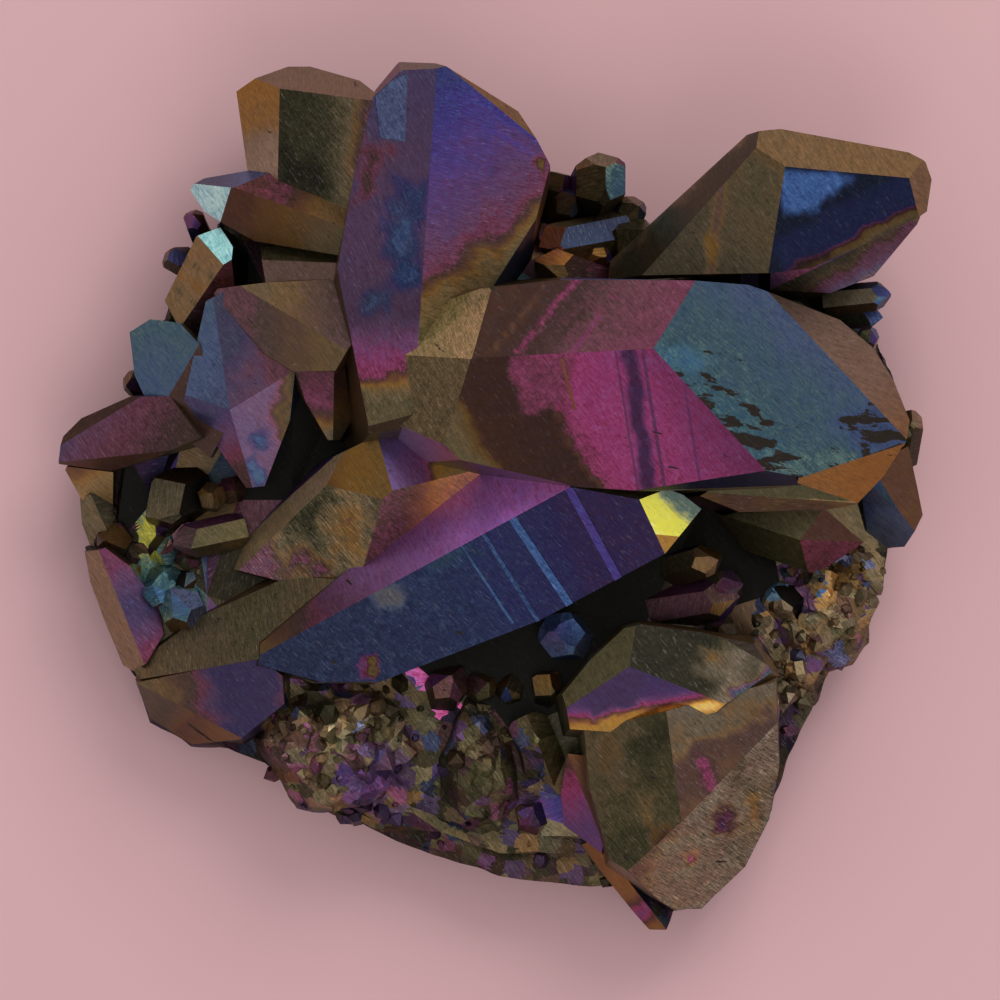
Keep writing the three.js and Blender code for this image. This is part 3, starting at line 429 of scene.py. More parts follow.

# %% [markdown]
# ### The crystals along the left
#
# Each of these gets one or two coats. Two small end faces at the upper left flash almost white: a
# painted highlight, from a very bright tone.

# %% Dress the crystals at the top left
dress(
    (-24.2, 38.5), (-3, 0.31, 1.4, 0.0), (1.0, 0.29, 1.3, 0.1), (2.4, 0.24, 1.4, 0.8),
    (5, 0.24, 1.9, 0.9), towards=-75,
)
dress(
    (-18.5, 37), (-4, 0.15, 0.3, 0.1), (1, 0.16, 0.42, 0.2), (3.2, 0.22, 0.8, 0.4),
    (4.8, 0.44, 0.9, 0.4), speckle=0.5,
    patches=[
        patch([(-22.5, 34.8), (-18.6, 33.8), (-16.4, 30.5), (-22.5, 31)], 0.10, 0.22, 0.0, ragged=0.9),
    ],
)
dress((-19, 42), (0, 0.24, 1.0, 0.4))
dress((-21, 31), (-6, 0.43, 1.4, 0.2), (0, 0.46, 1.5, 0.25), (4, 0.28, 1.3, 0.3), towards=-15)
dress((-22, 27.6), (-4, 0.39, 0.75, 0.15), (2, 0.30, 0.65, 0.2), (6, 0.20, 0.8, 0.3), towards=-20)
# Painted highlight: a very bright tone on a small end face.
dress((-29, 29.8), (0, 0.868, 4.2, 0.0), rough=0.25, speckle=0.0)
dress((-25.6, 31.7), (-2, 0.77, 0.5, 0.1), (0, 0.75, 1.1, 0.1))
dress(
    (-30, 21.5), (0, 0.26, 1.3, 0.15),
    patches=[
        band((-34, 22.2), (-27, 17.2), 0.25, 0.18, 0.7, 0.2, ragged=0.1),
        band((-33.4, 23.6), (-26.4, 18.6), 0.3, 0.33, 1.1, 0.1, ragged=0.1),
        band((-33, 25.2), (-26, 20.2), 0.2, 0.18, 0.7, 0.2, ragged=0.1),
    ],
)
# Painted highlight: a very bright tone on a small end face.
dress((-28.7, 25.3), (0, 0.868, 4.2, 0.0), rough=0.25, speckle=0.0)
print("faces dressed:", len(named))

# %% [markdown]
# Further down the left side the crystals are mauve, violet and teal, with a bloom that dulls them.
# The mass at the left edge is plum on top and tan on its rim.

# %% Dress the crystals at the left
dress((-34, 15), (-3, 0.80, 0.95, 0.35), (3, 0.84, 1.0, 0.35), towards=90)
dress(
    (-26, 15), (-5, 0.78, 0.75, 0.5), (-1, 0.66, 0.7, 0.6), (3, 0.48, 0.75, 0.55),
    towards=-10, sway=1.4,
)
dress((-29.5, 12.5), (-4, 0.80, 0.95, 0.45), (4, 0.72, 0.9, 0.5), towards=-40)
dress(
    (-24, 8), (-4, 0.60, 1.5, 0.6), (1, 0.55, 1.4, 0.6), (3, 0.20, 0.6, 0.4),
    (6, 0.18, 0.8, 0.4), sway=1.2,
    patches=[
        patch([(-25.4, 3.6), (-24.6, 4.4), (-23.4, 2.6), (-24.4, 0.4)], 0.80, 1.3, 0.3, ragged=0.4),
        patch([(-25, 6.4), (-23.6, 6.6), (-23.4, 5.2), (-24.6, 5)], 0.76, 1.1, 0.3, ragged=0.4),
    ],
)
dress((-27.2, 5.0), (-4, 0.66, 1.1, 0.5), (2, 0.44, 0.9, 0.4), towards=-60)
dress((-29.2, 6.2), (0, 0.42, 0.8, 0.3))
dress((-19, 18.5), (-4, 0.28, 0.8, 0.5), (3, 0.44, 0.85, 0.55), sway=1.2)
dress((-21, 16), (-4, 0.46, 0.8, 0.6), (5, 0.28, 0.8, 0.5), sway=1.2)
dress((-20.5, 22.6), (0, 0.42, 1.2, 0.5))
dress((-20.4, 24.8), (0, 0.18, 1.0, 0.25))
dress(
    (-18, 10.5), (-3, 0.45, 0.6, 0.3), (1, 0.48, 0.8, 0.3), (2.6, 0.33, 1.0, 0.1),
    (4.4, 0.20, 1.0, 0.8), towards=-80,
)
dress((-15.8, 10), (-3, 0.44, 0.7, 0.3), (3, 0.24, 0.9, 0.4), towards=-80)
dress(
    (-39, 6.4), (-5, 0.62, 0.7, 0.5), (-2, 0.52, 0.7, 0.5), (7, 0.42, 0.5, 0.4), towards=-30,
    speckle=0.25,
)
dress((-38, 3.4), (0, 0.40, 0.9, 0.3))
dress((-41.5, 1.4), (-2, 0.38, 1.3, 0.25), (0, 0.27, 1.8, 0.2), towards=-60)
dress((-41, -2.6), (0, 0.22, 1.1, 0.4))
dress((-39.3, -10.5), (0, 0.23, 1.45, 0.5), speckle=0.2)
dress(
    (-36.4, -11), (-5, 0.50, 0.9, 0.3), (0, 0.62, 0.8, 0.45), (5, 0.47, 1.0, 0.2), towards=-70,
    speckle=0.3, sway=1.0,
)
print("faces dressed:", len(named))

# %% [markdown]
# ### The shoulder in the middle
#
# A short crystal fills the middle, with a gold and a violet end face and a dark flank that glitters.

# %% Dress the shoulder
dress((-14.6, 3.2), (-3, 0.36, 0.8, 0.0), (0, 0.325, 0.95, 0.0), (2, 0.30, 0.85, 0.0), rough=0.35)
dress(
    (-8.5, 4), (-3, 0.62, 0.95, 0.4), (0.8, 0.54, 0.95, 0.35), (2.2, 0.32, 2.2, 0.1),
    (5, 0.24, 2.1, 0.1),
)
dress((-7.2, 5.2), (-2, 0.60, 2.4, 0.7), (2, 0.50, 2.3, 0.6), towards=20)
dress((-19.5, 1), (0, 0.24, 3.0, 0.5))
dress(
    (-18, -4.4), (-6, 0.50, 1.1, 0.6), (-3, 0.20, 1.1, 0.4), (0, 0.16, 0.8, 0.2),
    (4, 0.26, 1.3, 0.2), (7, 0.20, 0.6, 0.3), towards=20, sway=1.6, speckle=0.8,
    patches=[
        patch([(-21.5, -2), (-17.6, 1.4), (-16.4, -0.4), (-20, -4.6)], 0.13, 0.5, 0.0, ragged=1.2),
        patch([(-17, -1.4), (-14.2, -1), (-13.4, -4.4), (-16.6, -4.6)], 0.33, 1.1, 0.1, ragged=1.2),
        patch([(-20.4, -5.2), (-17, -5.4), (-17.4, -7.4), (-21, -7)], 0.55, 0.9, 0.4, ragged=1.2),
    ],
)
dress(
    (-6, 0.6), (-4, 0.44, 1.6, 0.3), (-1.6, 0.36, 2.2, 0.2), (0, 0.30, 2.8, 0.1),
    (3, 0.27, 2.8, 0.1), speckle=0.3,
)
print("faces dressed:", len(named))

# %% [markdown]
# ### The crystals along the right
#
# Beyond the blade lie a narrow olive bar and a low crystal of many faces, each with a coat of its own:
# olive, maroon, tan and a worn dark blue.

# %% Dress the right side
dress(
    (27, 0.6), (0, 0.17, 0.56, 0.15),
    patches=[band((18, 0.4), (38, -0.4), 0.3, 0.28, 1.2, 0.2, ragged=0.1)],
)
dress((28, -2), (-5, 0.12, 0.35, 0.2), (3, 0.18, 1.1, 0.3))
dress((27, -4), (-4, 0.12, 0.4, 0.1), (2, 0.17, 0.9, 0.1), (5, 0.17, 0.7, 0.1))
dress((34, -2.8), (0, 0.40, 0.85, 0.2))
dress((32.6, -6.4), (0, 0.45, 0.95, 0.1))
dress((35.2, -2.0), (0, 0.19, 1.5, 0.3))
dress((40, 1.5), (0, 0.38, 1.0, 0.2))
dress(
    (38.4, -2.0), (-3, 0.72, 0.9, 0.6), (0, 0.78, 1.3, 0.5), (3, 0.76, 0.85, 0.7),
    towards=-70, sway=1.0,
)
print("faces dressed:", len(named))

# %% [markdown]
# ### The broken mass
#
# At the lower right a crystal broke in two while it grew. The break shows every colour of the series
# within a few millimetres, so its stops lie close together. The sides that broke off are rough and
# grey with bloom.

# %% Dress the broken mass
dress((10, -17.5), (-4, 0.20, 0.8, 0.1), (0, 0.16, 1.0, 0.15), (3, 0.18, 0.9, 0.2))
dress(
    (19, -16.5), (-6, 0.16, 0.17, 0.3), (2, 0.17, 0.18, 0.3), (5, 0.20, 0.85, 0.9),
    towards=-25, sway=2.0, speckle=0.35,
    patches=[
        patch([(20, -14.6), (22.4, -14.2), (22.6, -16.2), (21, -16.4)], 0.34, 0.7, 0.0, ragged=0.7),
        band((17.4, -12.4), (22.4, -15), 0.6, 0.08, 0.2, 0.0, ragged=0.5),
        band((23.4, -20), (27.4, -16.6), 1.6, 0.84, 0.55, 0.6, ragged=0.5),
    ],
)
dress(
    (15.5, -19.8), (-3, 0.62, 0.7, 0.35), (-0.4, 0.59, 0.8, 0.2), (0.2, 0.51, 1.3, 0.05),
    (0.8, 0.38, 2.2, 0.0), (1.3, 0.33, 2.6, 0.0), (2.6, 0.30, 2.2, 0.0),
    towards=-80, rough=0.3, sway=0.3,
    patches=[
        band((15.8, -21.3), (21.8, -20.4), 0.9, 0.29, 6.0, 0.0, ragged=0.15),
        patch([(9, -16), (14.6, -16.4), (13.4, -20.8), (9, -22)], 0.59, 0.66, 0.3, ragged=0.4),
    ],
)
dress(
    (12, -27), (-4, 0.24, 0.6, 0.15), (0, 0.20, 0.55, 0.1), (3, 0.165, 0.45, 0.05),
    (6, 0.19, 0.6, 0.1), towards=-10, sway=2.0, speckle=0.35,
    patches=[
        patch([(9.5, -23.4), (12.6, -23), (12, -27.6), (9.8, -27)], 0.30, 0.6, 0.3, ragged=1.3),
        patch([(13.2, -29), (15.4, -28.6), (15.2, -32.6), (13.4, -32)], 0.27, 0.75, 0.0, ragged=1.0),
        patch([(14.4, -22.4), (18, -22), (18.4, -24), (14.6, -24.6)], 0.15, 0.35, 0.0, ragged=1.2),
        band((19.6, -25), (21.6, -31), 1.6, 0.48, 0.8, 0.1, ragged=0.5),
        patch([(19.2, -31.5), (20.4, -32), (21.4, -35.6), (20, -36)], 0.31, 0.8, 0.1, ragged=0.5),
        patch([(14.6, -32.6), (17, -33), (18, -37), (15.6, -36.4)], 0.38, 0.5, 0.2, ragged=0.8),
    ],
)
dress(
    (21, -25.5), (-6, 0.20, 0.8, 0.9), (-3.4, 0.24, 0.7, 0.6), (-1, 0.43, 0.75, 0.4),
    (3, 0.40, 0.75, 0.3), (7, 0.28, 0.7, 0.6), towards=-70, sway=2.0, speckle=0.3,
    patches=[
        patch([(19.4, -25), (21.2, -26), (22.4, -31.6), (20.6, -29)], 0.48, 1.05, 0.05, ragged=0.4),
    ],
)
dress(
    (25, -31), (0, 0.22, 1.3, 0.9), (6, 0.20, 1.1, 0.9),
    towards=-45, speckle=0.9, rough=0.55, sway=2.0,
    patches=[
        band((22, -26), (28, -30), 1.0, 0.14, 0.6, 0.3, ragged=1.4),
        band((18.6, -34.4), (24.4, -37), 1.2, 0.16, 0.6, 0.3, ragged=1.4),
        band((24, -34), (27.6, -27.6), 0.7, 0.30, 0.9, 0.4, ragged=1.2),
        patch([(25, -29.4), (26.4, -29.6), (26, -31.8), (24.8, -32)], 0.30, 1.1, 0.0, ragged=0.7),
        patch([(22, -31), (24, -31.4), (23.4, -33.4), (21.6, -33)], 0.60, 0.35, 0.1, ragged=0.8),
    ],
)
dress(
    (18, -37), (-4, 0.38, 1.1, 0.5), (0, 0.22, 1.4, 0.7), (4, 0.20, 1.4, 0.8),
    speckle=0.8, rough=0.5, sway=2.0,
    patches=[
        patch([(18.6, -35.4), (19.8, -35.2), (19.6, -36.6), (18.6, -36.6)], 0.49, 2.2, 0.1, ragged=0.3),
    ],
)
dress(
    (7.6, -28.5), (-4, 0.34, 1.2, 0.1), (-1, 0.47, 1.2, 0.1), (1, 0.50, 1.2, 0.1),
    (4, 0.57, 0.9, 0.2), towards=-80,
)
dress((8.3, -27.2), (-3, 0.36, 1.0, 0.1), (3, 0.42, 0.9, 0.2), towards=-70)
dress(
    (12.9, -39.4), (-4, 0.34, 1.1, 0.1), (0, 0.33, 1.1, 0.1), (2.4, 0.55, 1.2, 0.1),
    (4, 0.33, 1.1, 0.1), towards=-55,
)
print("faces dressed:", len(named))

# %% [markdown]
# ### The gaps
#
# The bottoms of the gaps between crystals are painted almost black: painted shade, for the deep shade that
# falls there.

# %% Paint shade into the gaps
SHADED_GAPS = [  # places on the plan, in millimetres
    (12, -10.2), (1.8, -16.3), (20, -3), (22.4, -4.2), (25.3, -7.4), (-19.8, 6), (-26, 23.4),
    (-24.9, 22), (29.8, -11), (-32, -7.2), (-37.2, -2.6), (24.5, 20.1), (-21.6, 5.0), (-18.2, 5.4),
    (29.2, -9.6), (9.8, -12.6), (-0.5, 20.6), (-1.2, 19.6), (-30.4, -0.4), (-23.6, -7.8), (22.6, 20.2),
]
# Painted shade: a face in a gap gets a coat that is almost black.
for x, y in SHADED_GAPS:
    if number_at(x, y) not in named:
        dress((x, y), (0, 0.10, 0.06, 0.1), speckle=0.0)
print("faces named:", len(named))

# %% [markdown]
# ## The small crystals and the rock
#
# Nobody would name every face of the small crystals. They take a coat by where they are: each area
# of the plan has a typical film, tone and bloom. The first area in the list that holds a place counts,
# so small areas stand before the wide ones around them.

# %% Coats by area
AREAS = [  # middle, radius, both in mm, then film, spread of film, tone, dull
    # painted highlight: the pink flash is a very bright tone
    ((-7.0, -16.6), 1.9, 0.57, 0.04, 4.5, 0.30),  # pink flash
    ((-4.4, -17.4), 1.8, 0.44, 0.06, 1.5, 0.30),
    ((-0.4, -17.4), 1.6, 0.30, 0.03, 1.3, 0.10),
    ((6.5, -13.5), 3.2, 0.74, 0.03, 3.2, 0.35),  # blue point
    ((4.4, -17.6), 2.0, 0.30, 0.04, 1.0, 0.10),
    ((4.5, -22.5), 4.2, 0.19, 0.03, 0.9, 0.15),  # olive point
    ((3.6, -30.6), 2.6, 0.59, 0.04, 1.2, 0.35),  # violet point
    ((-12.6, -28.4), 4.2, 0.57, 0.05, 1.5, 0.45),  # violet grains
    ((-21.0, -25.0), 3.4, 0.44, 0.10, 1.3, 0.45),
    ((-15, -24.5), 9.0, 0.19, 0.05, 1.75, 0.30),  # druzy mass
    ((-2, -26.5), 7.0, 0.18, 0.03, 0.9, 0.15),  # olive lump
    ((20, -5.8), 3.0, 0.20, 0.10, 1.0, 0.40),
    ((22, -8.5), 3.4, 0.52, 0.14, 0.8, 0.60),
    ((27.6, -8.2), 1.9, 0.82, 0.04, 3.0, 0.30),  # pale blue end
    ((31.2, -8.4), 1.6, 0.74, 0.05, 1.4, 0.10),
    ((35, -7.6), 1.8, 0.31, 0.04, 1.5, 0.10),
    ((33, -11), 7.5, 0.23, 0.05, 2.6, 0.45),  # rough right edge
    ((29, -18), 5.5, 0.22, 0.06, 1.6, 0.60),
    ((10.2, 35.0), 1.0, 0.12, 0.02, 0.4, 0.10),
    # painted highlight: a bright pale face of a small crystal
    ((11.6, 32.2), 1.3, 0.88, 0.02, 1.7, 0.20),
    ((8.8, 33.0), 1.6, 0.22, 0.04, 1.3, 0.20),
    ((5.2, 26.2), 1.8, 0.40, 0.03, 1.5, 0.20),
    ((9.2, 26.8), 1.9, 0.73, 0.03, 0.22, 0.60),
    ((12.8, 26.4), 1.8, 0.17, 0.03, 1.2, 0.40),
    ((6.0, 23.4), 2.2, 0.30, 0.04, 1.2, 0.15),
    ((9.4, 24.2), 1.7, 0.33, 0.03, 1.3, 0.10),
    ((8, 28), 7.0, 0.22, 0.12, 0.7, 0.40),
    ((39, 19.5), 3.5, 0.70, 0.10, 0.7, 0.20),
    ((41.6, 7.5), 3.0, 0.17, 0.06, 1.1, 0.30),
    ((-34.2, 1.8), 1.6, 0.46, 0.10, 1.1, 0.20),
    ((-32.6, -0.4), 2.6, 0.17, 0.04, 0.45, 0.40),
    ((-28.5, -2.8), 2.6, 0.22, 0.05, 0.55, 0.35),
    ((-35.5, -1.2), 3.0, 0.40, 0.10, 0.9, 0.30),
    ((-29.2, 0.8), 2.0, 0.30, 0.05, 1.0, 0.30),
    ((-26.6, 0.8), 2.0, 0.44, 0.06, 0.8, 0.50),
    ((-31.8, -4.6), 1.6, 0.42, 0.05, 1.3, 0.50),
    ((-34.6, -8.2), 2.6, 0.87, 0.03, 1.5, 0.10),  # teal ends
    ((-31.4, -10.0), 2.6, 0.80, 0.12, 0.9, 0.40),
    ((-31.5, 27.8), 2.0, 0.52, 0.10, 1.2, 0.20),
    ((-34.5, 21.6), 2.0, 0.78, 0.06, 0.6, 0.30),
    ((2, -35), 9.0, 0.22, 0.06, 1.7, 0.30),
    ((-15, -34), 5.5, 0.36, 0.05, 1.2, 0.15),
]
ANYWHERE = (0.21, 0.12, 0.7, 0.35)


def area_of(place):
    """The typical coat at a place: the first area that holds it."""
    here = (place - PLAN_ZERO) / MM
    for middle, radius, *finish in AREAS:
        if math.hypot(here.x - middle[0], here.y - middle[1]) < radius:
            return finish
    return ANYWHERE


print("areas:", len(AREAS))

# %% [markdown]
# Every face strays a little from the coat of its area, by a chance that its number picks, so the same
# face gets the same coat each time. Where an area has no clear colour of its own, some faces show
# quite another one. Faces low in the crevices are darker: painted shade for the shade there.

# %% A coat for a face without a name
THINNEST = 0.04  # the least film that still shows a colour
MIXED = 0.1  # an area with more spread than this has no clear colour of its own
OTHER_SHARE = 0.35
OTHER_FILMS = (0.28, 0.36, 0.45, 0.52, 0.58, 0.70, 0.80)
TONES = (0.5, 0.8, 1.0, 1.3, 1.7)
# Painted shade: below the first height a face is darkest, and the shade fades out by the second.
DARK_BELOW, CLEAR_ABOVE = 7.0, 16.0  # mm: from the crevices up to the open
DEEP_SHADE_TONE = 0.3


def within(value, low, high):
    """A value, held between two others."""
    return min(high, max(low, value))


def chance_coat(number, place):
    """A coat for a face that has no name."""
    film, spread, tone, dull = area_of(place)
    chance = random.Random(number)
    film = within(film + spread * chance.gauss(0.0, 0.6), THINNEST, 1.0)
    if spread > MIXED and chance.random() < OTHER_SHARE:
        film = chance.choice(OTHER_FILMS)
    # Painted shade: the lower a face lies in the crevices, the darker its tone.
    openness = within((place.z / MM - DARK_BELOW) / (CLEAR_ABOVE - DARK_BELOW), 0.0, 1.0)
    tone *= chance.choice(TONES) * (DEEP_SHADE_TONE + (1.0 - DEEP_SHADE_TONE) * openness)
    return (film, tone, dull * chance.uniform(0.2, 1.5), 0.0)


print("a face deep down:", chance_coat(1, plan(0.0, 0.0, DARK_BELOW)))

# %% [markdown]
# ## Cut the sharp borders
#
# A colour can only change at a corner of the mesh, so the sides of every sharp stripe or patch are
# first cut into its face with bisect. Bisect cuts what is selected, so one helper selects faces by a
# test, and the others tell whether a place lies in a patch.

# %% Helpers for the cuts
mesh = cluster.data


def select_faces(test):
    """Selects the faces in edit mode that pass a test, and says how many there are."""
    bpy.ops.mesh.select_all(action="DESELECT")
    sheet = bmesh.from_edit_mesh(mesh)
    layer = sheet.faces.layers.int["crystal_face"]
    chosen = [face for face in sheet.faces if test(face, face[layer])]
    for face in chosen:
        face.select_set(True)
    bmesh.update_edit_mesh(mesh, loop_triangles=False, destructive=False)
    return len(chosen)


def sides_of(corners):
    """The sides of a patch, each as the two corners that it joins."""
    return list(zip(corners, corners[1:] + corners[:1]))


def depth_in(corners, x, y):
    """How far inside a patch a place lies, in millimetres. Outside, it is less than zero."""
    here = Vector((x, y))
    left = [(b - a).cross(here - a) / (b - a).length for a, b in sides_of(corners)]
    return max(min(left), -max(left))  # whichever way round the corners are listed


def middle_of(face):
    """The middle of a face on the plan, in millimetres."""
    return (face.calc_center_median() - PLAN_ZERO) / MM


print("patches:", sum(len(finish["patches"]) for finish in named.values()))

# %% [markdown]
# Each side of a sharp patch is the trace of an upright plane, and the plane cuts only the face that
# the patch lies on. Ragged patches aren't cut, because their borders wander.

# %% Cut the patches
ON_THE_PLANE = 1e-6  # metres: corners as near to the cut as this lie on it

pick(cluster)
bpy.ops.object.mode_set(mode="EDIT")
bpy.ops.mesh.select_mode(type="FACE")
for number, finish in named.items():
    for item in finish["patches"]:
        if item["ragged"] > 0.0:
            continue
        for a, b in sides_of(item["corners"]):
            select_faces(lambda face, own: own == number)
            across = (b - a).orthogonal().normalized()
            bpy.ops.mesh.bisect(plane_co=plan(*a), plane_no=(*across, 0.0), threshold=ON_THE_PLANE)
print("faces after cutting:", len(bmesh.from_edit_mesh(mesh).faces))

# %% [markdown]
# A growth step is a real ledge on the crystal, so its stripe is extruded out of the face along the
# face's normal. The etched hollow is extruded the other way. Bump could only fake the shadow of such
# an edge.

# %% Raise the growth steps and sink the etched hollow
for number, finish in named.items():
    for item in finish["patches"]:
        if item["lift"] == 0.0:
            continue
        hit = select_faces(
            lambda face, own: own == number and depth_in(item["corners"], *middle_of(face).xy) >= 0.0
        )
        if hit:
            sheet = bmesh.from_edit_mesh(mesh)
            up = next(face.normal.copy() for face in sheet.faces if face.select)
            bpy.ops.mesh.extrude_region_move(TRANSFORM_OT_translate={"value": up * item["lift"] * MM})
print("faces after raising:", len(bmesh.from_edit_mesh(mesh).faces))

# %% [markdown]
# ## Divide the faces
#
# Borders that wander, and rock that is rough, need many small faces. Every edge longer than about a
# millimetre is halved, and the halves again, for a few rounds, so long faces are divided and small
# ones are spared. The underside and the faces that look down are left coarser.

# %% Divide them
FINE, COARSE = 0.95, 1.8  # mm: how long an edge may stay
ROUNDS = 5
LOOKS_UP = 0.05


def longest_for(face):
    """How long an edge of a face may stay."""
    return FINE if face.normal.z > LOOKS_UP else COARSE


def make_triangles():
    """Splits every face that has more than three corners."""
    select_faces(lambda face, own: len(face.verts) > 3)
    bpy.ops.mesh.quads_convert_to_tris(quad_method="BEAUTY", ngon_method="BEAUTY")


for _ in range(ROUNDS):
    make_triangles()
    bpy.ops.mesh.select_all(action="DESELECT")
    bpy.ops.mesh.select_mode(type="EDGE")
    sheet = bmesh.from_edit_mesh(mesh)
    found = 0
    for edge in sheet.edges:
        longest = min((longest_for(face) for face in edge.link_faces), default=COARSE)
        if edge.calc_length() > longest * MM:
            edge.select = True
            found += 1
    bpy.ops.mesh.subdivide(number_cuts=1)
    bpy.ops.mesh.select_mode(type="FACE")
    if not found:
        break
make_triangles()
bpy.ops.object.mode_set(mode="OBJECT")
print("faces after dividing:", len(mesh.polygons))

# %% [markdown]
# ## Roughen the rock
#
# The rock under the crystals and the druzy masses have no flat faces. A face counts as rock when it
# lies low, or in one of a few rough masses, and doesn't belong to a crystal that has a name. The two
# sides that broke off count as well.

# %% Say which faces are rough
ROCK_BELOW = 9.0  # mm: below this, all that has no name is rock
ROUGH_BELOW = 15.0  # mm: how high the rough masses reach
DRUZY_MASS, OLIVE_LUMP = ((-15, -24.5), 9.0), ((-2, -27), 6.5)  # middle and radius, in mm
RIGHT_EDGE, RIGHT_CORNER = ((33, -11.5), 7.5), ((29, -18), 5.5)
BROKEN_SIDES = {number_at(25, -31), number_at(18, -37)}

numbers = [item.value for item in mesh.attributes["crystal_face"].data]


def lies_in(place, *masses):
    """Whether a place lies in one of the rough masses that are given."""
    here = (place - PLAN_ZERO) / MM
    return any(math.hypot(here.x - c[0], here.y - c[1]) < radius for c, radius in masses)


def is_rock(polygon):
    """Whether a face belongs to the rock or a rough mass and not to a crystal."""
    number = numbers[polygon.index]
    if number in BROKEN_SIDES:
        return True
    if number in named:
        return False
    height = ((polygon.center - PLAN_ZERO) / MM).z
    rough = lies_in(polygon.center, DRUZY_MASS, OLIVE_LUMP, RIGHT_EDGE, RIGHT_CORNER)
    return height < ROCK_BELOW or (rough and height < ROUGH_BELOW)


rock = [is_rock(polygon) for polygon in mesh.polygons]
print("faces of rock:", sum(rock))

# %% [markdown]
# The corners of the rock are pushed in and out along two cloud patterns, a coarse one for lumps and a
# fine one for grit. Corners that the rock shares with a crystal stay, and so does the ring that the
# cluster stands on.

# %% Push its corners
LUMP, GRIT = 3.0, 1.1  # mm: how wide they are
LUMP_PUSH, GRIT_PUSH, SINK = 0.45, 0.12, 0.06  # mm
STANDS, LOWEST = 0.05, 0.06  # mm: corners below the first stay, and none is pushed below the second

held = set()
for polygon in mesh.polygons:
    if not rock[polygon.index]:
        held.update(polygon.vertices)


def clouds(place, size, seed):
    """A cloud pattern from minus one to one, with blobs of a given size in millimetres."""
    return noise.noise(place / (size * MM) + Vector((seed, -seed, 2.0 * seed)))


moved = 0
pushed = []
for vertex in mesh.vertices:
    place = vertex.co.copy()
    if vertex.index not in held and place.z > STANDS * MM:
        push = LUMP_PUSH * clouds(place, LUMP, 7.0) + GRIT_PUSH * abs(clouds(place, GRIT, 3.0)) - SINK
        place += vertex.normal * push * MM
        place.z = max(place.z, LOWEST * MM)
        moved += 1
    pushed.extend(place)
mesh.vertices.foreach_set("co", pushed)
for polygon in mesh.polygons:
    polygon.use_smooth = False
mesh.update()
print("rock corners moved:", moved)

# %% [markdown]
# ## Write the coats on the mesh
#
# Each corner of each face gets its coat: first the stops across the face, then any patch that holds
# it. The place that is looked up sways with the clouds, so borders wander as they do in nature. A
# ragged patch fades at its border, and a sharp one ends where it was cut.

# %% Work out the coat at a corner
SHARP = 1e-6  # mm: a border that is cut
SOFT = 1.6  # mm: a border that wanders fades over this, times its raggedness
WIDE_SWAY, FINE_SWAY = (3.1, 1.4), (1.2, 0.9)  # mm: the size of the clouds, and how far they sway


def between(first, second, share):
    """The mix of two coats, by a share of the second."""
    return tuple(p + (q - p) * share for p, q in zip(first, second))


def blend(stops, distance):
    """The coat between the stops that a distance falls between."""
    if distance <= stops[0][0]:
        return stops[0][1]
    for (a, first), (b, second) in zip(stops, stops[1:]):
        if distance <= b:
            return between(first, second, (distance - a) / max(b - a, SHARP))
    return stops[-1][1]


def coat_at(finish, place, middle):
    """The coat of a named face at a corner. Middle is the middle of the small face it belongs to."""
    size, reach = WIDE_SWAY
    sway = Vector((clouds(place, size, 1.0), clouds(place, size, 5.0), 0.0)) * reach
    size, reach = FINE_SWAY
    sway += Vector((clouds(place, size, 9.0), clouds(place, size, 4.0), 0.0)) * reach
    here = (place - PLAN_ZERO) / MM
    swayed = here + sway * finish["sway"]
    result = blend(finish["stops"], (swayed.xy - finish["place"]).dot(finish["along"]))
    for item in finish["patches"]:
        look = here + sway * item["ragged"] if item["ragged"] > 0.0 else middle
        soft = SOFT * item["ragged"] + SHARP
        share = within(0.5 + depth_in(item["corners"], look.x, look.y) / soft, 0.0, 1.0)
        result = between(result, item["coat"], share)
    return result


print("half way from navy to gold:", between(coat("navy"), coat("gold"), 0.5))

# %% [markdown]
# The rock is a crust of grains that met as they grew. A Voronoi pattern divides space into such
# grains, and each has one coat: half of them keep to the coat of their area, and the other half show
# a colour of their own. On a face without a name the film drifts slowly instead.

# %% Coats for the rock and for faces without a name
GRAIN = 1.7  # mm: how wide the grains of the rock are
GRAIN_FILMS = (0.16, 0.20, 0.27, 0.32, 0.38, 0.44, 0.50, 0.54, 0.57, 0.61, 0.72)
GRAIN_TONE = 0.85
STIR = Vector((7.1, 13.7, 3.3))  # makes one number out of a grain's place
DRIFT = 0.14  # how far the film of a face without a name wanders
DRIFT_SIZE = 7.0  # mm


def rock_coat(place):
    """The coat of one grain of the rock: some keep to their area, some show another colour."""
    seed = noise.voronoi(place / (GRAIN * MM))[1][0]
    chance = random.Random(int(seed.dot(STIR) * 1000.0))
    film, tone, dull, worn = chance_coat(chance.randrange(10**6), place)
    if chance.random() < 0.5:
        film = chance.choice(GRAIN_FILMS)
        dull = chance.uniform(0.35, 0.65)
    return (film, tone * GRAIN_TONE, dull, worn)


def drifting(value, place):
    """The coat of a face without a name at a place: its film changes slowly over the face."""
    film, tone, dull, worn = value
    return (within(film + DRIFT * clouds(place, DRIFT_SIZE, 6.0), THINNEST, 1.0), tone, dull, worn)


print("a grain of rock:", rock_coat(plan(0.0, -30.0, 5.0)))

# %% [markdown]
# Two colour attributes carry the result to the material: the coat, and the surface, which says how
# rough and how grainy a face is and which way its hairlines run. They are kept at the corners of each
# face, so two faces that meet at an edge can differ.

# %% Write it
ROCK_FEEL = (0.60, 0.45, 0.7)  # rough, speckle, way of the hairlines
CRYSTAL_FEEL = (0.38, 0.3)

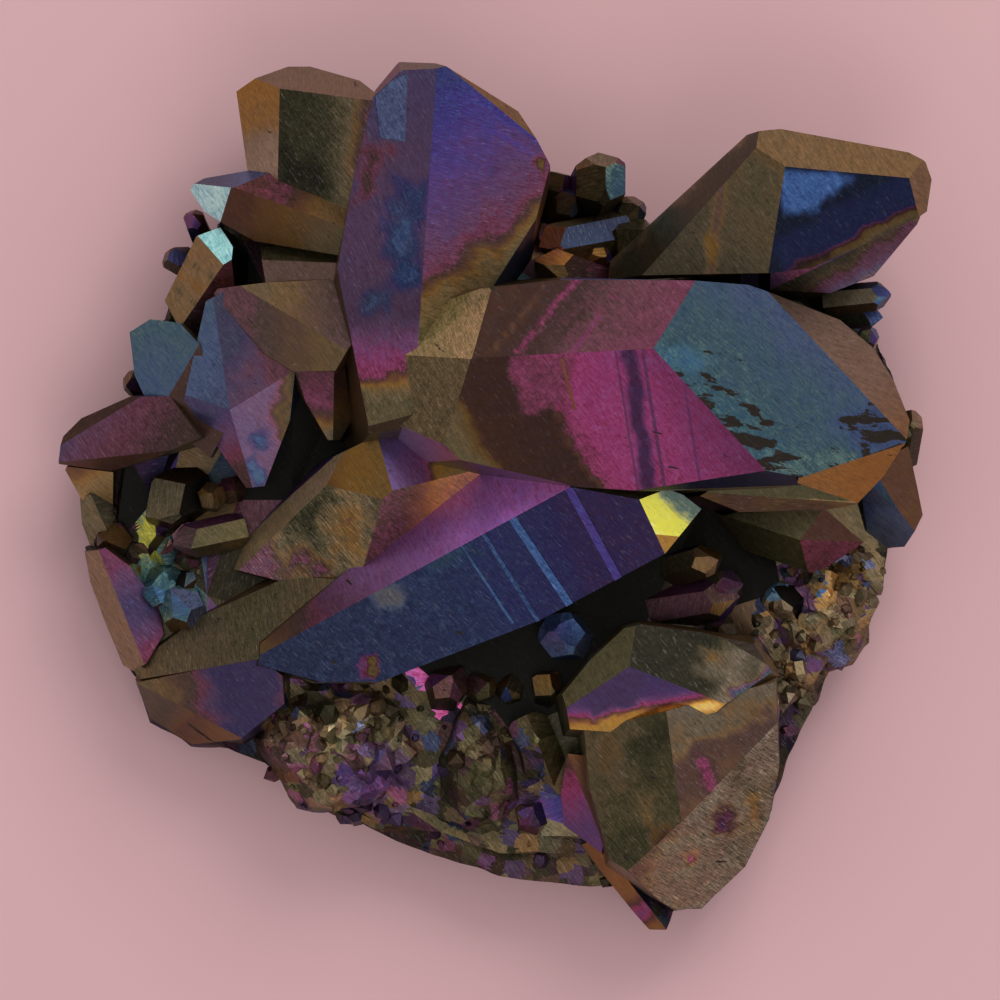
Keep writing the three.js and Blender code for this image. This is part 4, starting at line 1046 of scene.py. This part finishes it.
coats = mesh.attributes.new("coat", "FLOAT_COLOR", "CORNER")
surface = mesh.attributes.new("surface", "FLOAT_COLOR", "CORNER")
coat_values, surface_values = [], []
remembered = {}
for polygon in mesh.polygons:
    number = numbers[polygon.index]
    finish = named.get(number)
    middle = (polygon.center - PLAN_ZERO) / MM
    if finish:
        feel = finish["surface"]
    elif rock[polygon.index]:
        value, feel = rock_coat(polygon.center), ROCK_FEEL
    else:
        if number not in remembered:
            remembered[number] = chance_coat(number, polygon.center)
        feel = (*CRYSTAL_FEEL, number % 10 / 10.0)
    for corner in polygon.vertices:
        if finish:
            value = coat_at(finish, mesh.vertices[corner].co, middle)
        elif not rock[polygon.index]:
            value = drifting(remembered[number], mesh.vertices[corner].co)
        coat_values.extend(value)
        surface_values.extend((*feel, 1.0))
coats.data.foreach_set("color", coat_values)
surface.data.foreach_set("color", surface_values)
mesh.attributes.remove(mesh.attributes["crystal_face"])
print("corners coated:", len(coat_values) // 4)

# %% [markdown]
# ## Druse
#
# Where the rock shows, many small quartz crystals have grown on it, no larger than a match head. One
# of them is modelled: a six-sided column whose top is extruded and merged to a point. An array would
# set copies in rows, so the copies are placed one by one in the next cell.

# %% Model one small crystal
COLUMN_RADIUS, COLUMN_LENGTH, POINT_LENGTH = 0.5, 1.0, 0.55  # mm, before a copy gets its own size

deselect()
bpy.ops.mesh.primitive_cylinder_add(
    vertices=6, radius=COLUMN_RADIUS * MM, depth=COLUMN_LENGTH * MM,
    location=(0.0, 0.0, 0.5 * COLUMN_LENGTH * MM),
)
point = bpy.context.active_object
point.name = "small_point"
bpy.ops.object.transform_apply(location=True, rotation=True, scale=True)
bpy.ops.object.mode_set(mode="EDIT")
bpy.ops.mesh.select_mode(type="FACE")
sheet = bmesh.from_edit_mesh(point.data)
for face in sheet.faces:
    face.select_set(face.normal.z > 0.9)
bmesh.update_edit_mesh(point.data)
bpy.ops.mesh.extrude_region_move(TRANSFORM_OT_translate={"value": (0.0, 0.0, POINT_LENGTH * MM)})
bpy.ops.mesh.merge(type="CENTER")
bpy.ops.object.mode_set(mode="OBJECT")
print("faces of one point:", len(point.data.polygons))

# %% [markdown]
# The crystals stand on rock that looks up, closest together in the druzy masses. The olive lump is
# smoother, so it has few. Those that crowd each other in nature keep only their tips free, so every
# copy is rooted well below the surface.

# %% Choose where they stand
DRUSE = 160
DRUSE_ABOVE = 4.0  # mm
DRUSE_LOOKS_UP = 0.3
CROWDED, SPARSE = 5.0, 0.6  # how many stand on a piece of rock, against each other

sites = [
    polygon for polygon in mesh.polygons
    if rock[polygon.index] and polygon.center.z > DRUSE_ABOVE * MM
    and polygon.normal.z > DRUSE_LOOKS_UP and numbers[polygon.index] not in BROKEN_SIDES
]


def is_crowded(place):
    """Whether a place lies in one of the masses that glitter with small crystals."""
    return lies_in(place, DRUZY_MASS, RIGHT_EDGE, RIGHT_CORNER) and not lies_in(place, OLIVE_LUMP)


weights = [polygon.area * (CROWDED if is_crowded(polygon.center) else SPARSE) for polygon in sites]
print("faces that may carry a crystal:", len(sites))

# %% [markdown]
# Each copy has its own size, lean and spin, drawn from one seeded chance, so that the druse is the
# same every time. It takes the coat of the grain it stands on, only darker.

# %% Plant the druse
SIZES = (0.6, 0.7, 0.9, 1.1, 1.4, 1.8, 2.3)  # times the modelled crystal
ROOTED = 0.7  # mm, times the size
CLEAR = 0.1  # mm: none reaches lower than this
DRUSE_TONE = 0.6
DRUSE_FEEL = (0.42, 0.1, 0.7, 1.0)


def grown_on(polygon, chance):
    """A copy of the small crystal, rooted in a face."""
    size = chance.choice(SIZES)
    lean = Vector((chance.gauss(0, 0.4), chance.gauss(0, 0.4), chance.gauss(0.3, 0.4)))
    axis = (polygon.normal + lean).normalized()
    turn = axis.to_track_quat("Z", "Y").to_matrix().to_4x4()
    spin = Matrix.Rotation(chance.uniform(0.0, 1.0), 4, "Z")
    thickness, length = size * chance.uniform(0.7, 1.0), size * chance.uniform(0.6, 1.0)
    stretch = Matrix.Diagonal((size, thickness, length, 1.0))
    root = polygon.center - polygon.normal * ROOTED * size * MM
    copy = bpy.data.objects.new("druse_point", point.data.copy())
    copy.data.transform(Matrix.Translation(root) @ turn @ spin @ stretch)
    low = min(vertex.co.z for vertex in copy.data.vertices)
    if low < CLEAR * MM:
        copy.data.transform(Matrix.Translation((0.0, 0.0, CLEAR * MM - low)))
    bpy.context.scene.collection.objects.link(copy)
    return copy


def fill(item, name, value):
    """Gives every corner of a mesh the same value of an attribute."""
    for corner in item.data.attributes.new(name, "FLOAT_COLOR", "CORNER").data:
        corner.color = value


chance = random.Random(11)
points = [grown_on(polygon, chance) for polygon in chance.choices(sites, weights, k=DRUSE)]
for copy in points:
    film, tone, dull, _ = rock_coat(copy.data.vertices[0].co)
    fill(copy, "coat", (film, tone * DRUSE_TONE, dull, 0.0))
    fill(copy, "surface", DRUSE_FEEL)
bpy.data.objects.remove(point)
deselect()
for copy in points:
    copy.select_set(True)
bpy.context.view_layer.objects.active = points[0]
bpy.ops.object.join()
druse = bpy.context.active_object
druse.name = "druse"
print("druse points:", DRUSE, "faces:", len(druse.data.polygons))

# %% [markdown]
# ## A way to write shader sums
#
# A wire carries a value through a material. Ordinary sums on wires make the nodes that work them out,
# so the rest of the material reads like arithmetic. Colours and places go through Vector Math, because
# a Math node would turn them grey. Any other node comes from one method.

# %% The wire
class Wire:
    """A value on its way through the nodes of a material."""

    def __init__(self, socket):
        self.socket = socket

    def node(self, kind, settings=None, inputs=None, out=0):
        """Adds a node of a kind, sets it, feeds it and gives its output."""
        return add_node(self.socket.id_data, kind, settings, inputs, out)

    def is_vector(self):
        """Whether the value has three parts, as a colour or a place has."""
        return self.socket.type in {"VECTOR", "RGBA"}

    def sum(self, operation, *values):
        """Adds the node that works out one sum."""
        vector = any(
            value.is_vector() if isinstance(value, Wire) else isinstance(value, (tuple, Vector))
            for value in values
        )
        kind = "ShaderNodeVectorMath" if vector else "ShaderNodeMath"
        return self.node(kind, {"operation": operation}, dict(enumerate(values)))

    def __add__(self, other):
        return self.sum("ADD", self, other)

    def __radd__(self, other):
        return self.sum("ADD", other, self)

    def __sub__(self, other):
        return self.sum("SUBTRACT", self, other)

    def __rsub__(self, other):
        return self.sum("SUBTRACT", other, self)

    def __mul__(self, other):
        return self.sum("MULTIPLY", self, other)

    def __rmul__(self, other):
        return self.sum("MULTIPLY", other, self)

    def at_most(self, other):
        """The value, or another where that is less."""
        return self.sum("MINIMUM", self, other)

    def at_least(self, other):
        """The value, or another where that is more."""
        return self.sum("MAXIMUM", self, other)

    def dot(self, direction):
        """How far a place lies along a direction."""
        return self.node(
            "ShaderNodeVectorMath", {"operation": "DOT_PRODUCT"}, {0: self, 1: direction}, "Value"
        )

    def rise(self, low, high):
        """Zero below one value, one above another, and a smooth rise between them."""
        return self.node(
            "ShaderNodeMapRange",
            {"interpolation_type": "SMOOTHSTEP"},
            {"Value": self, "From Min": low, "From Max": high},
        )

    def clouds(self, detail=2.0, roughness=0.5, twist=1.2):
        """A cloud pattern about one unit in size, from none to one, at a place in units."""
        looks = {"Detail": detail, "Roughness": roughness, "Distortion": twist}
        return self.node(
            "ShaderNodeTexNoise", {"noise_dimensions": "3D"}, {"Vector": self, "Scale": 1.0, **looks}
        )


# %% [markdown]
# Three helpers go with the wire. One adds a node to a tree, also where no wire has begun yet, one
# makes a place from three numbers, and one mixes two colours.

# %% Add a node, join three numbers, mix two colours
def add_node(tree, kind, settings=None, inputs=None, out=0):
    """Adds one node to a material's tree."""
    made = tree.nodes.new(kind)
    for name, value in (settings or {}).items():
        setattr(made, name, value)
    for name, value in (inputs or {}).items():
        if isinstance(value, Wire):
            tree.links.new(value.socket, made.inputs[name])
        elif made.inputs[name].type in {"VECTOR", "RGBA"} and isinstance(value, (int, float)):
            made.inputs[name].default_value = [value] * len(made.inputs[name].default_value)
        else:
            made.inputs[name].default_value = value
    return Wire(made.outputs[out]) if made.outputs else None


def join(x, y, z):
    """A place made of three numbers."""
    return x.node("ShaderNodeCombineXYZ", inputs={0: x, 1: y, 2: z})


MIX_SHARE, MIX_FIRST, MIX_SECOND, MIX_RESULT = 0, 6, 7, 2  # the Mix node's sockets for colours


def mix(share, first, second):
    """A mix of two colours, by a share of the second."""
    return share.node(
        "ShaderNodeMix",
        {"data_type": "RGBA", "clamp_factor": True},
        {MIX_SHARE: share, MIX_FIRST: first, MIX_SECOND: second},
        MIX_RESULT,
    )


print("a wire can:", [name for name in vars(Wire) if not name.startswith("__")])

# %% [markdown]
# ## The coated quartz
#
# The film thickness picks a colour from the interference series: as the film thickens, the colour
# runs from bare brown through olive, gold, magenta, violet and navy to teal and pale yellow. Colours
# are written as they are seen on a screen and turned into amounts of light.

# %% The interference series
def seen(red, green, blue, alpha=1.0):
    """A colour as it is seen on a screen, from 0 to 255, turned into amounts of light."""
    parts = [value / 255.0 for value in (red, green, blue)]
    light = [p / 12.92 if p <= 0.04045 else ((p + 0.055) / 1.055) ** 2.4 for p in parts]
    return (*light, alpha)


SERIES = {
    "bare": (34, 32, 30), "smoke": (60, 54, 36), "olive": (85, 80, 46), "tan": (114, 94, 62),
    "gold": (128, 90, 34), "rust": (97, 56, 34), "maroon": (72, 40, 38), "magenta": (132, 46, 88),
    "violet": (106, 62, 116), "indigo": (58, 46, 118), "navy": (36, 58, 108), "steel": (60, 92, 142),
    "teal": (56, 96, 110), "mint": (112, 146, 134), "lemon": (226, 212, 62), "straw": (250, 240, 150),
}
BLOOM = seen(112, 98, 88)
RUBBED = seen(44, 38, 32)
PIT = seen(20, 17, 15)
# Painted glint: the light that a bright hairline adds is painted into the colour.
HAIR_GLINT = (0.12, 0.115, 0.11)  # the light that a bright hairline adds
print("colours in the series:", len(SERIES))

# %% [markdown]
# The material begins with what the mesh carries at each corner: the coat and the surface. A colour
# attribute comes out of its node as one colour, so it is parted into its numbers.

# %% Start the material
quartz = bpy.data.materials.new("coated_quartz")
quartz.use_nodes = True
tree = quartz.node_tree
tree.nodes.clear()


def parts_of(color):
    """The three numbers that a colour carries."""
    parted = color.node("ShaderNodeSeparateColor", inputs={0: color}).socket.node
    return [Wire(output) for output in parted.outputs]


coat_color = add_node(tree, "ShaderNodeAttribute", {"attribute_name": "coat"}, out="Color")
worn_share = add_node(tree, "ShaderNodeAttribute", {"attribute_name": "coat"}, out="Alpha")
surface_color = add_node(tree, "ShaderNodeAttribute", {"attribute_name": "surface"}, out="Color")
film, tone, dull = parts_of(coat_color)
rough, speckle, direction = parts_of(surface_color)
print("nodes that read the mesh:", len(tree.nodes))

# %% [markdown]
# Two kinds of pattern lie over the coats. Clouds in three sizes are even in all directions, and the
# frame that they read is tilted, so no flat face lies along their lattice. Hairlines are clouds that
# are stretched one way, and each face says which way its own run.

# %% The patterns
BROAD, SMALL, FINEST = 0.35, 1.5, 4.5  # clouds to the millimetre
TILT = Euler((0.61, 0.43, 0.37))
SLANT = 0.3  # how much the hairlines shift with height

place = add_node(tree, "ShaderNodeTexCoord", out="Object") * (1.0 / MM)  # in millimetres
east, north, height = (place.dot(axis) for axis in ((1, 0, 0), (0, 1, 0), (0, 0, 1)))
turn = (direction - 1.0) * math.pi  # which way the hairlines run on the plan
cosine, sine = turn.sum("COSINE", turn), turn.sum("SINE", turn)
along = east * cosine + north * sine
across = north * cosine - east * sine + height * SLANT


def lined(along_scale, across_scale):
    """Places stretched along the hairlines, so that clouds on them become lines."""
    return join(along * along_scale, across * across_scale, height * along_scale)


grain = join(*(place.dot(tuple(row)) for row in TILT.to_matrix()))
broad = (grain * BROAD).clouds(3.0)
small = (grain * SMALL).clouds(3.0, 0.6)
fine = (grain * FINEST).clouds(2.0, 0.6)
lines = lined(0.8, 7.5).clouds(2.0, 0.6, 0.3)
hairs = lined(1.0, 7.0).clouds(2.0, 0.7, 0.2)
print("nodes with the patterns:", len(tree.nodes))

# %% [markdown]
# Clouds and hairlines make the film a little thicker and thinner from place to place. The result
# runs through a colour ramp whose stops are the series.

# %% The colour of the film
thick = (
    film
    + (broad - 0.5) * 0.05
    + (small - 0.5) * (0.045 + speckle * 0.25)
    + (fine - 0.5) * (0.02 + speckle * 0.15)
    + (lines - 0.5) * 0.05
)
ramp_node = thick.node("ShaderNodeValToRGB", inputs={0: thick}).socket.node
stops = ramp_node.color_ramp.elements
for stop in list(stops)[1:]:
    stops.remove(stop)
for name, value in SERIES.items():
    stop = stops[0] if name == "bare" else stops.new(FILM[name])
    stop.position = FILM[name]
    stop.color = seen(*value)
color = Wire(ramp_node.outputs[0])
print("stops of the ramp:", len(stops))

# %% [markdown]
# Over the film lies what time and handling left: a grey bloom, small dark pits and streaks where the
# coat has rubbed through to brown. A few hairlines glint: painted glints of light. Each is a share
# between none and one that mixes the next colour in.

# %% Bloom, pits, wear and glints
PIT_SHARE = 0.55
WEAR_FROM, WEAR_TO = 0.70, 0.745  # a narrow rise, so that a worn streak has a crisp border
GLINT_FROM, GLINT_TO = 0.58, 0.74

shine = tone * (
    1.0 + (lines - 0.5) * (0.9 + speckle * 2.5) + (small - 0.5) * 0.6 + (fine - 0.5) * (0.5 + speckle)
)
bloom = dull * 0.7 + (small - 0.5) * 0.3 + speckle * (fine - 0.45)
color = mix(bloom.at_most(1.0).at_least(0.0), color, BLOOM)
color = color * shine
pits = (fine * 0.6 + small * 0.4).rise(0.36, 0.30)
color = mix(pits * PIT_SHARE, color, PIT)
streaks = join(place.dot((0.32, -0.12, 0.0)), place.dot((0.35, 1.0, 0.2)) * 0.9, 3.0)
streaks = streaks.clouds(3.0, 0.55, 0.25)
wear = (streaks + (small - 0.5) * 0.16 + worn_share * 0.42).rise(WEAR_FROM, WEAR_TO)
color = mix(wear, color, RUBBED)
# Painted glints: a few bright hairlines are mixed into the colour.
painted_glints = hairs.rise(GLINT_FROM, GLINT_TO)
painted_glints = painted_glints * (small.rise(0.3, 0.7) * 0.4 + 0.6) * (0.12 + speckle * 1.6)
color = mix(painted_glints, color, color * 1.6 + HAIR_GLINT)
print("nodes with the colour:", len(tree.nodes))

# %% [markdown]
# The coat is a metal oxide, so it reflects like a tinted metal that is a little rough. Growth left
# ripples along the hairlines and a fine grit, both far too small to model, so they are bump. Where
# the coat has worn off, the surface is a little lower and rougher.

# %% Finish the material
METALLIC = 0.8
SMOOTHEST = 0.15
BUMP_STRENGTH, BUMP_HEIGHT = 0.2, 0.06 * MM

ripples = lined(0.6, 2.7).clouds(1.0, 0.5, 0.0)
grit = (grain * 1.7).clouds(2.0, 0.5, 0.0)
relief = ripples * 0.5 + grit * 0.6 - wear * 0.4
bumps = relief.node(
    "ShaderNodeBump", inputs={"Height": relief, "Strength": BUMP_STRENGTH, "Distance": BUMP_HEIGHT}
)
shader = color.node(
    "ShaderNodeBsdfPrincipled",
    inputs={
        "Base Color": color,
        "Metallic": METALLIC,
        "Roughness": (rough + (small - 0.5) * 0.25 + wear * 0.2).at_least(SMOOTHEST),
        "Normal": bumps,
    },
)
add_node(tree, "ShaderNodeOutputMaterial", inputs={"Surface": shader})
print("nodes of the whole material:", len(tree.nodes))

# %% [markdown]
# ## Put it on
#
# Both pieces get the material and ride on the one body there is. The coated copy stands in for the
# measured solid, which is then hidden, and the druse is only added to it.

# %% Put the material on and place the pieces
for piece in (cluster, druse):
    piece.data.materials.clear()
    piece.data.materials.append(quartz)
    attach(piece, "root")
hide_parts("quartz_cluster")
print("pieces:", cluster.name, druse.name)

# %% [markdown]
# ## The floor
#
# The cluster lies on a plain dusty pink sheet, matt enough to show no reflection. It is a plane far
# wider than the view.

# %% The floor
deselect()
bpy.ops.mesh.primitive_plane_add(size=4.0, location=(0.0, 0.0, 0.0))
floor = bpy.context.active_object
floor.name = "floor"
paper = bpy.data.materials.new("pink_sheet")
paper.use_nodes = True
paper_shader = paper.node_tree.nodes["Principled BSDF"]
paper_shader.inputs["Base Color"].default_value = seen(217, 173, 176)
paper_shader.inputs["Roughness"].default_value = 0.9
paper_shader.inputs["Specular IOR Level"].default_value = 0.1
floor.data.materials.append(paper)
print("floor, m:", [round(side, 2) for side in floor.dimensions.xy])

# %% [markdown]
# ## The light
#
# A large soft light stands beyond the cluster and a little to the right, so the soft shadow falls
# towards the viewer and to the left. A weaker one fills from the near side, and the sky adds an even
# light. Large lights suit metal, which shows what it reflects: a small lamp would leave most faces
# black.

# %% The lights
KEY_PLACE, KEY_POWER = (0.28, 0.62, 0.60), 3.3  # metres, watts
FILL_PLACE, FILL_POWER = (0.15, -0.45, 0.9), 1.2
LIGHT_SIZE = 0.5  # metres
SKY_STRENGTH = 0.62


def soft_light(name, place, size, power, color):
    """A square light at a place, turned towards the middle of the cluster."""
    data = bpy.data.lights.new(name, "AREA")
    data.shape = "SQUARE"
    data.size = size
    data.energy = power
    data.color = color
    light = bpy.data.objects.new(name, data)
    light.location = place
    light.rotation_euler = (-Vector(place)).to_track_quat("-Z", "Y").to_euler()
    bpy.context.scene.collection.objects.link(light)
    return light


soft_light("key", KEY_PLACE, LIGHT_SIZE, KEY_POWER, (1.0, 0.99, 0.97))
soft_light("fill", FILL_PLACE, LIGHT_SIZE, FILL_POWER, (1.0, 0.98, 0.98))
world = bpy.data.worlds.new("studio")
world.use_nodes = True
sky = world.node_tree.nodes["Background"].inputs
sky["Color"].default_value = (0.96, 0.98, 1.0, 1.0)
sky["Strength"].default_value = SKY_STRENGTH
bpy.context.scene.world = world
bpy.context.scene.view_settings.view_transform = "Standard"

# %% [markdown]
# ## The camera
#
# The camera looks straight down from two metres through a long lens, so the tall crystals don't lean
# outwards in the view. At the height of the reference plane the view is a hundred millimetres wide.

# %% The camera
REFERENCE = 18.0  # mm: the height of the reference plane
DISTANCE = 2000.0  # mm: from there to the camera
VIEW_WIDTH = 100.0  # mm

lens = bpy.data.cameras.new("camera")
lens.sensor_width = 36.0
lens.lens = lens.sensor_width * DISTANCE / VIEW_WIDTH
lens.clip_end = 10.0
camera = bpy.data.objects.new("camera", lens)
camera.location = plan(0.0, 0.0, REFERENCE + DISTANCE)
bpy.context.scene.collection.objects.link(camera)
bpy.context.scene.camera = camera
print("lens, mm:", lens.lens)

# %% [markdown]
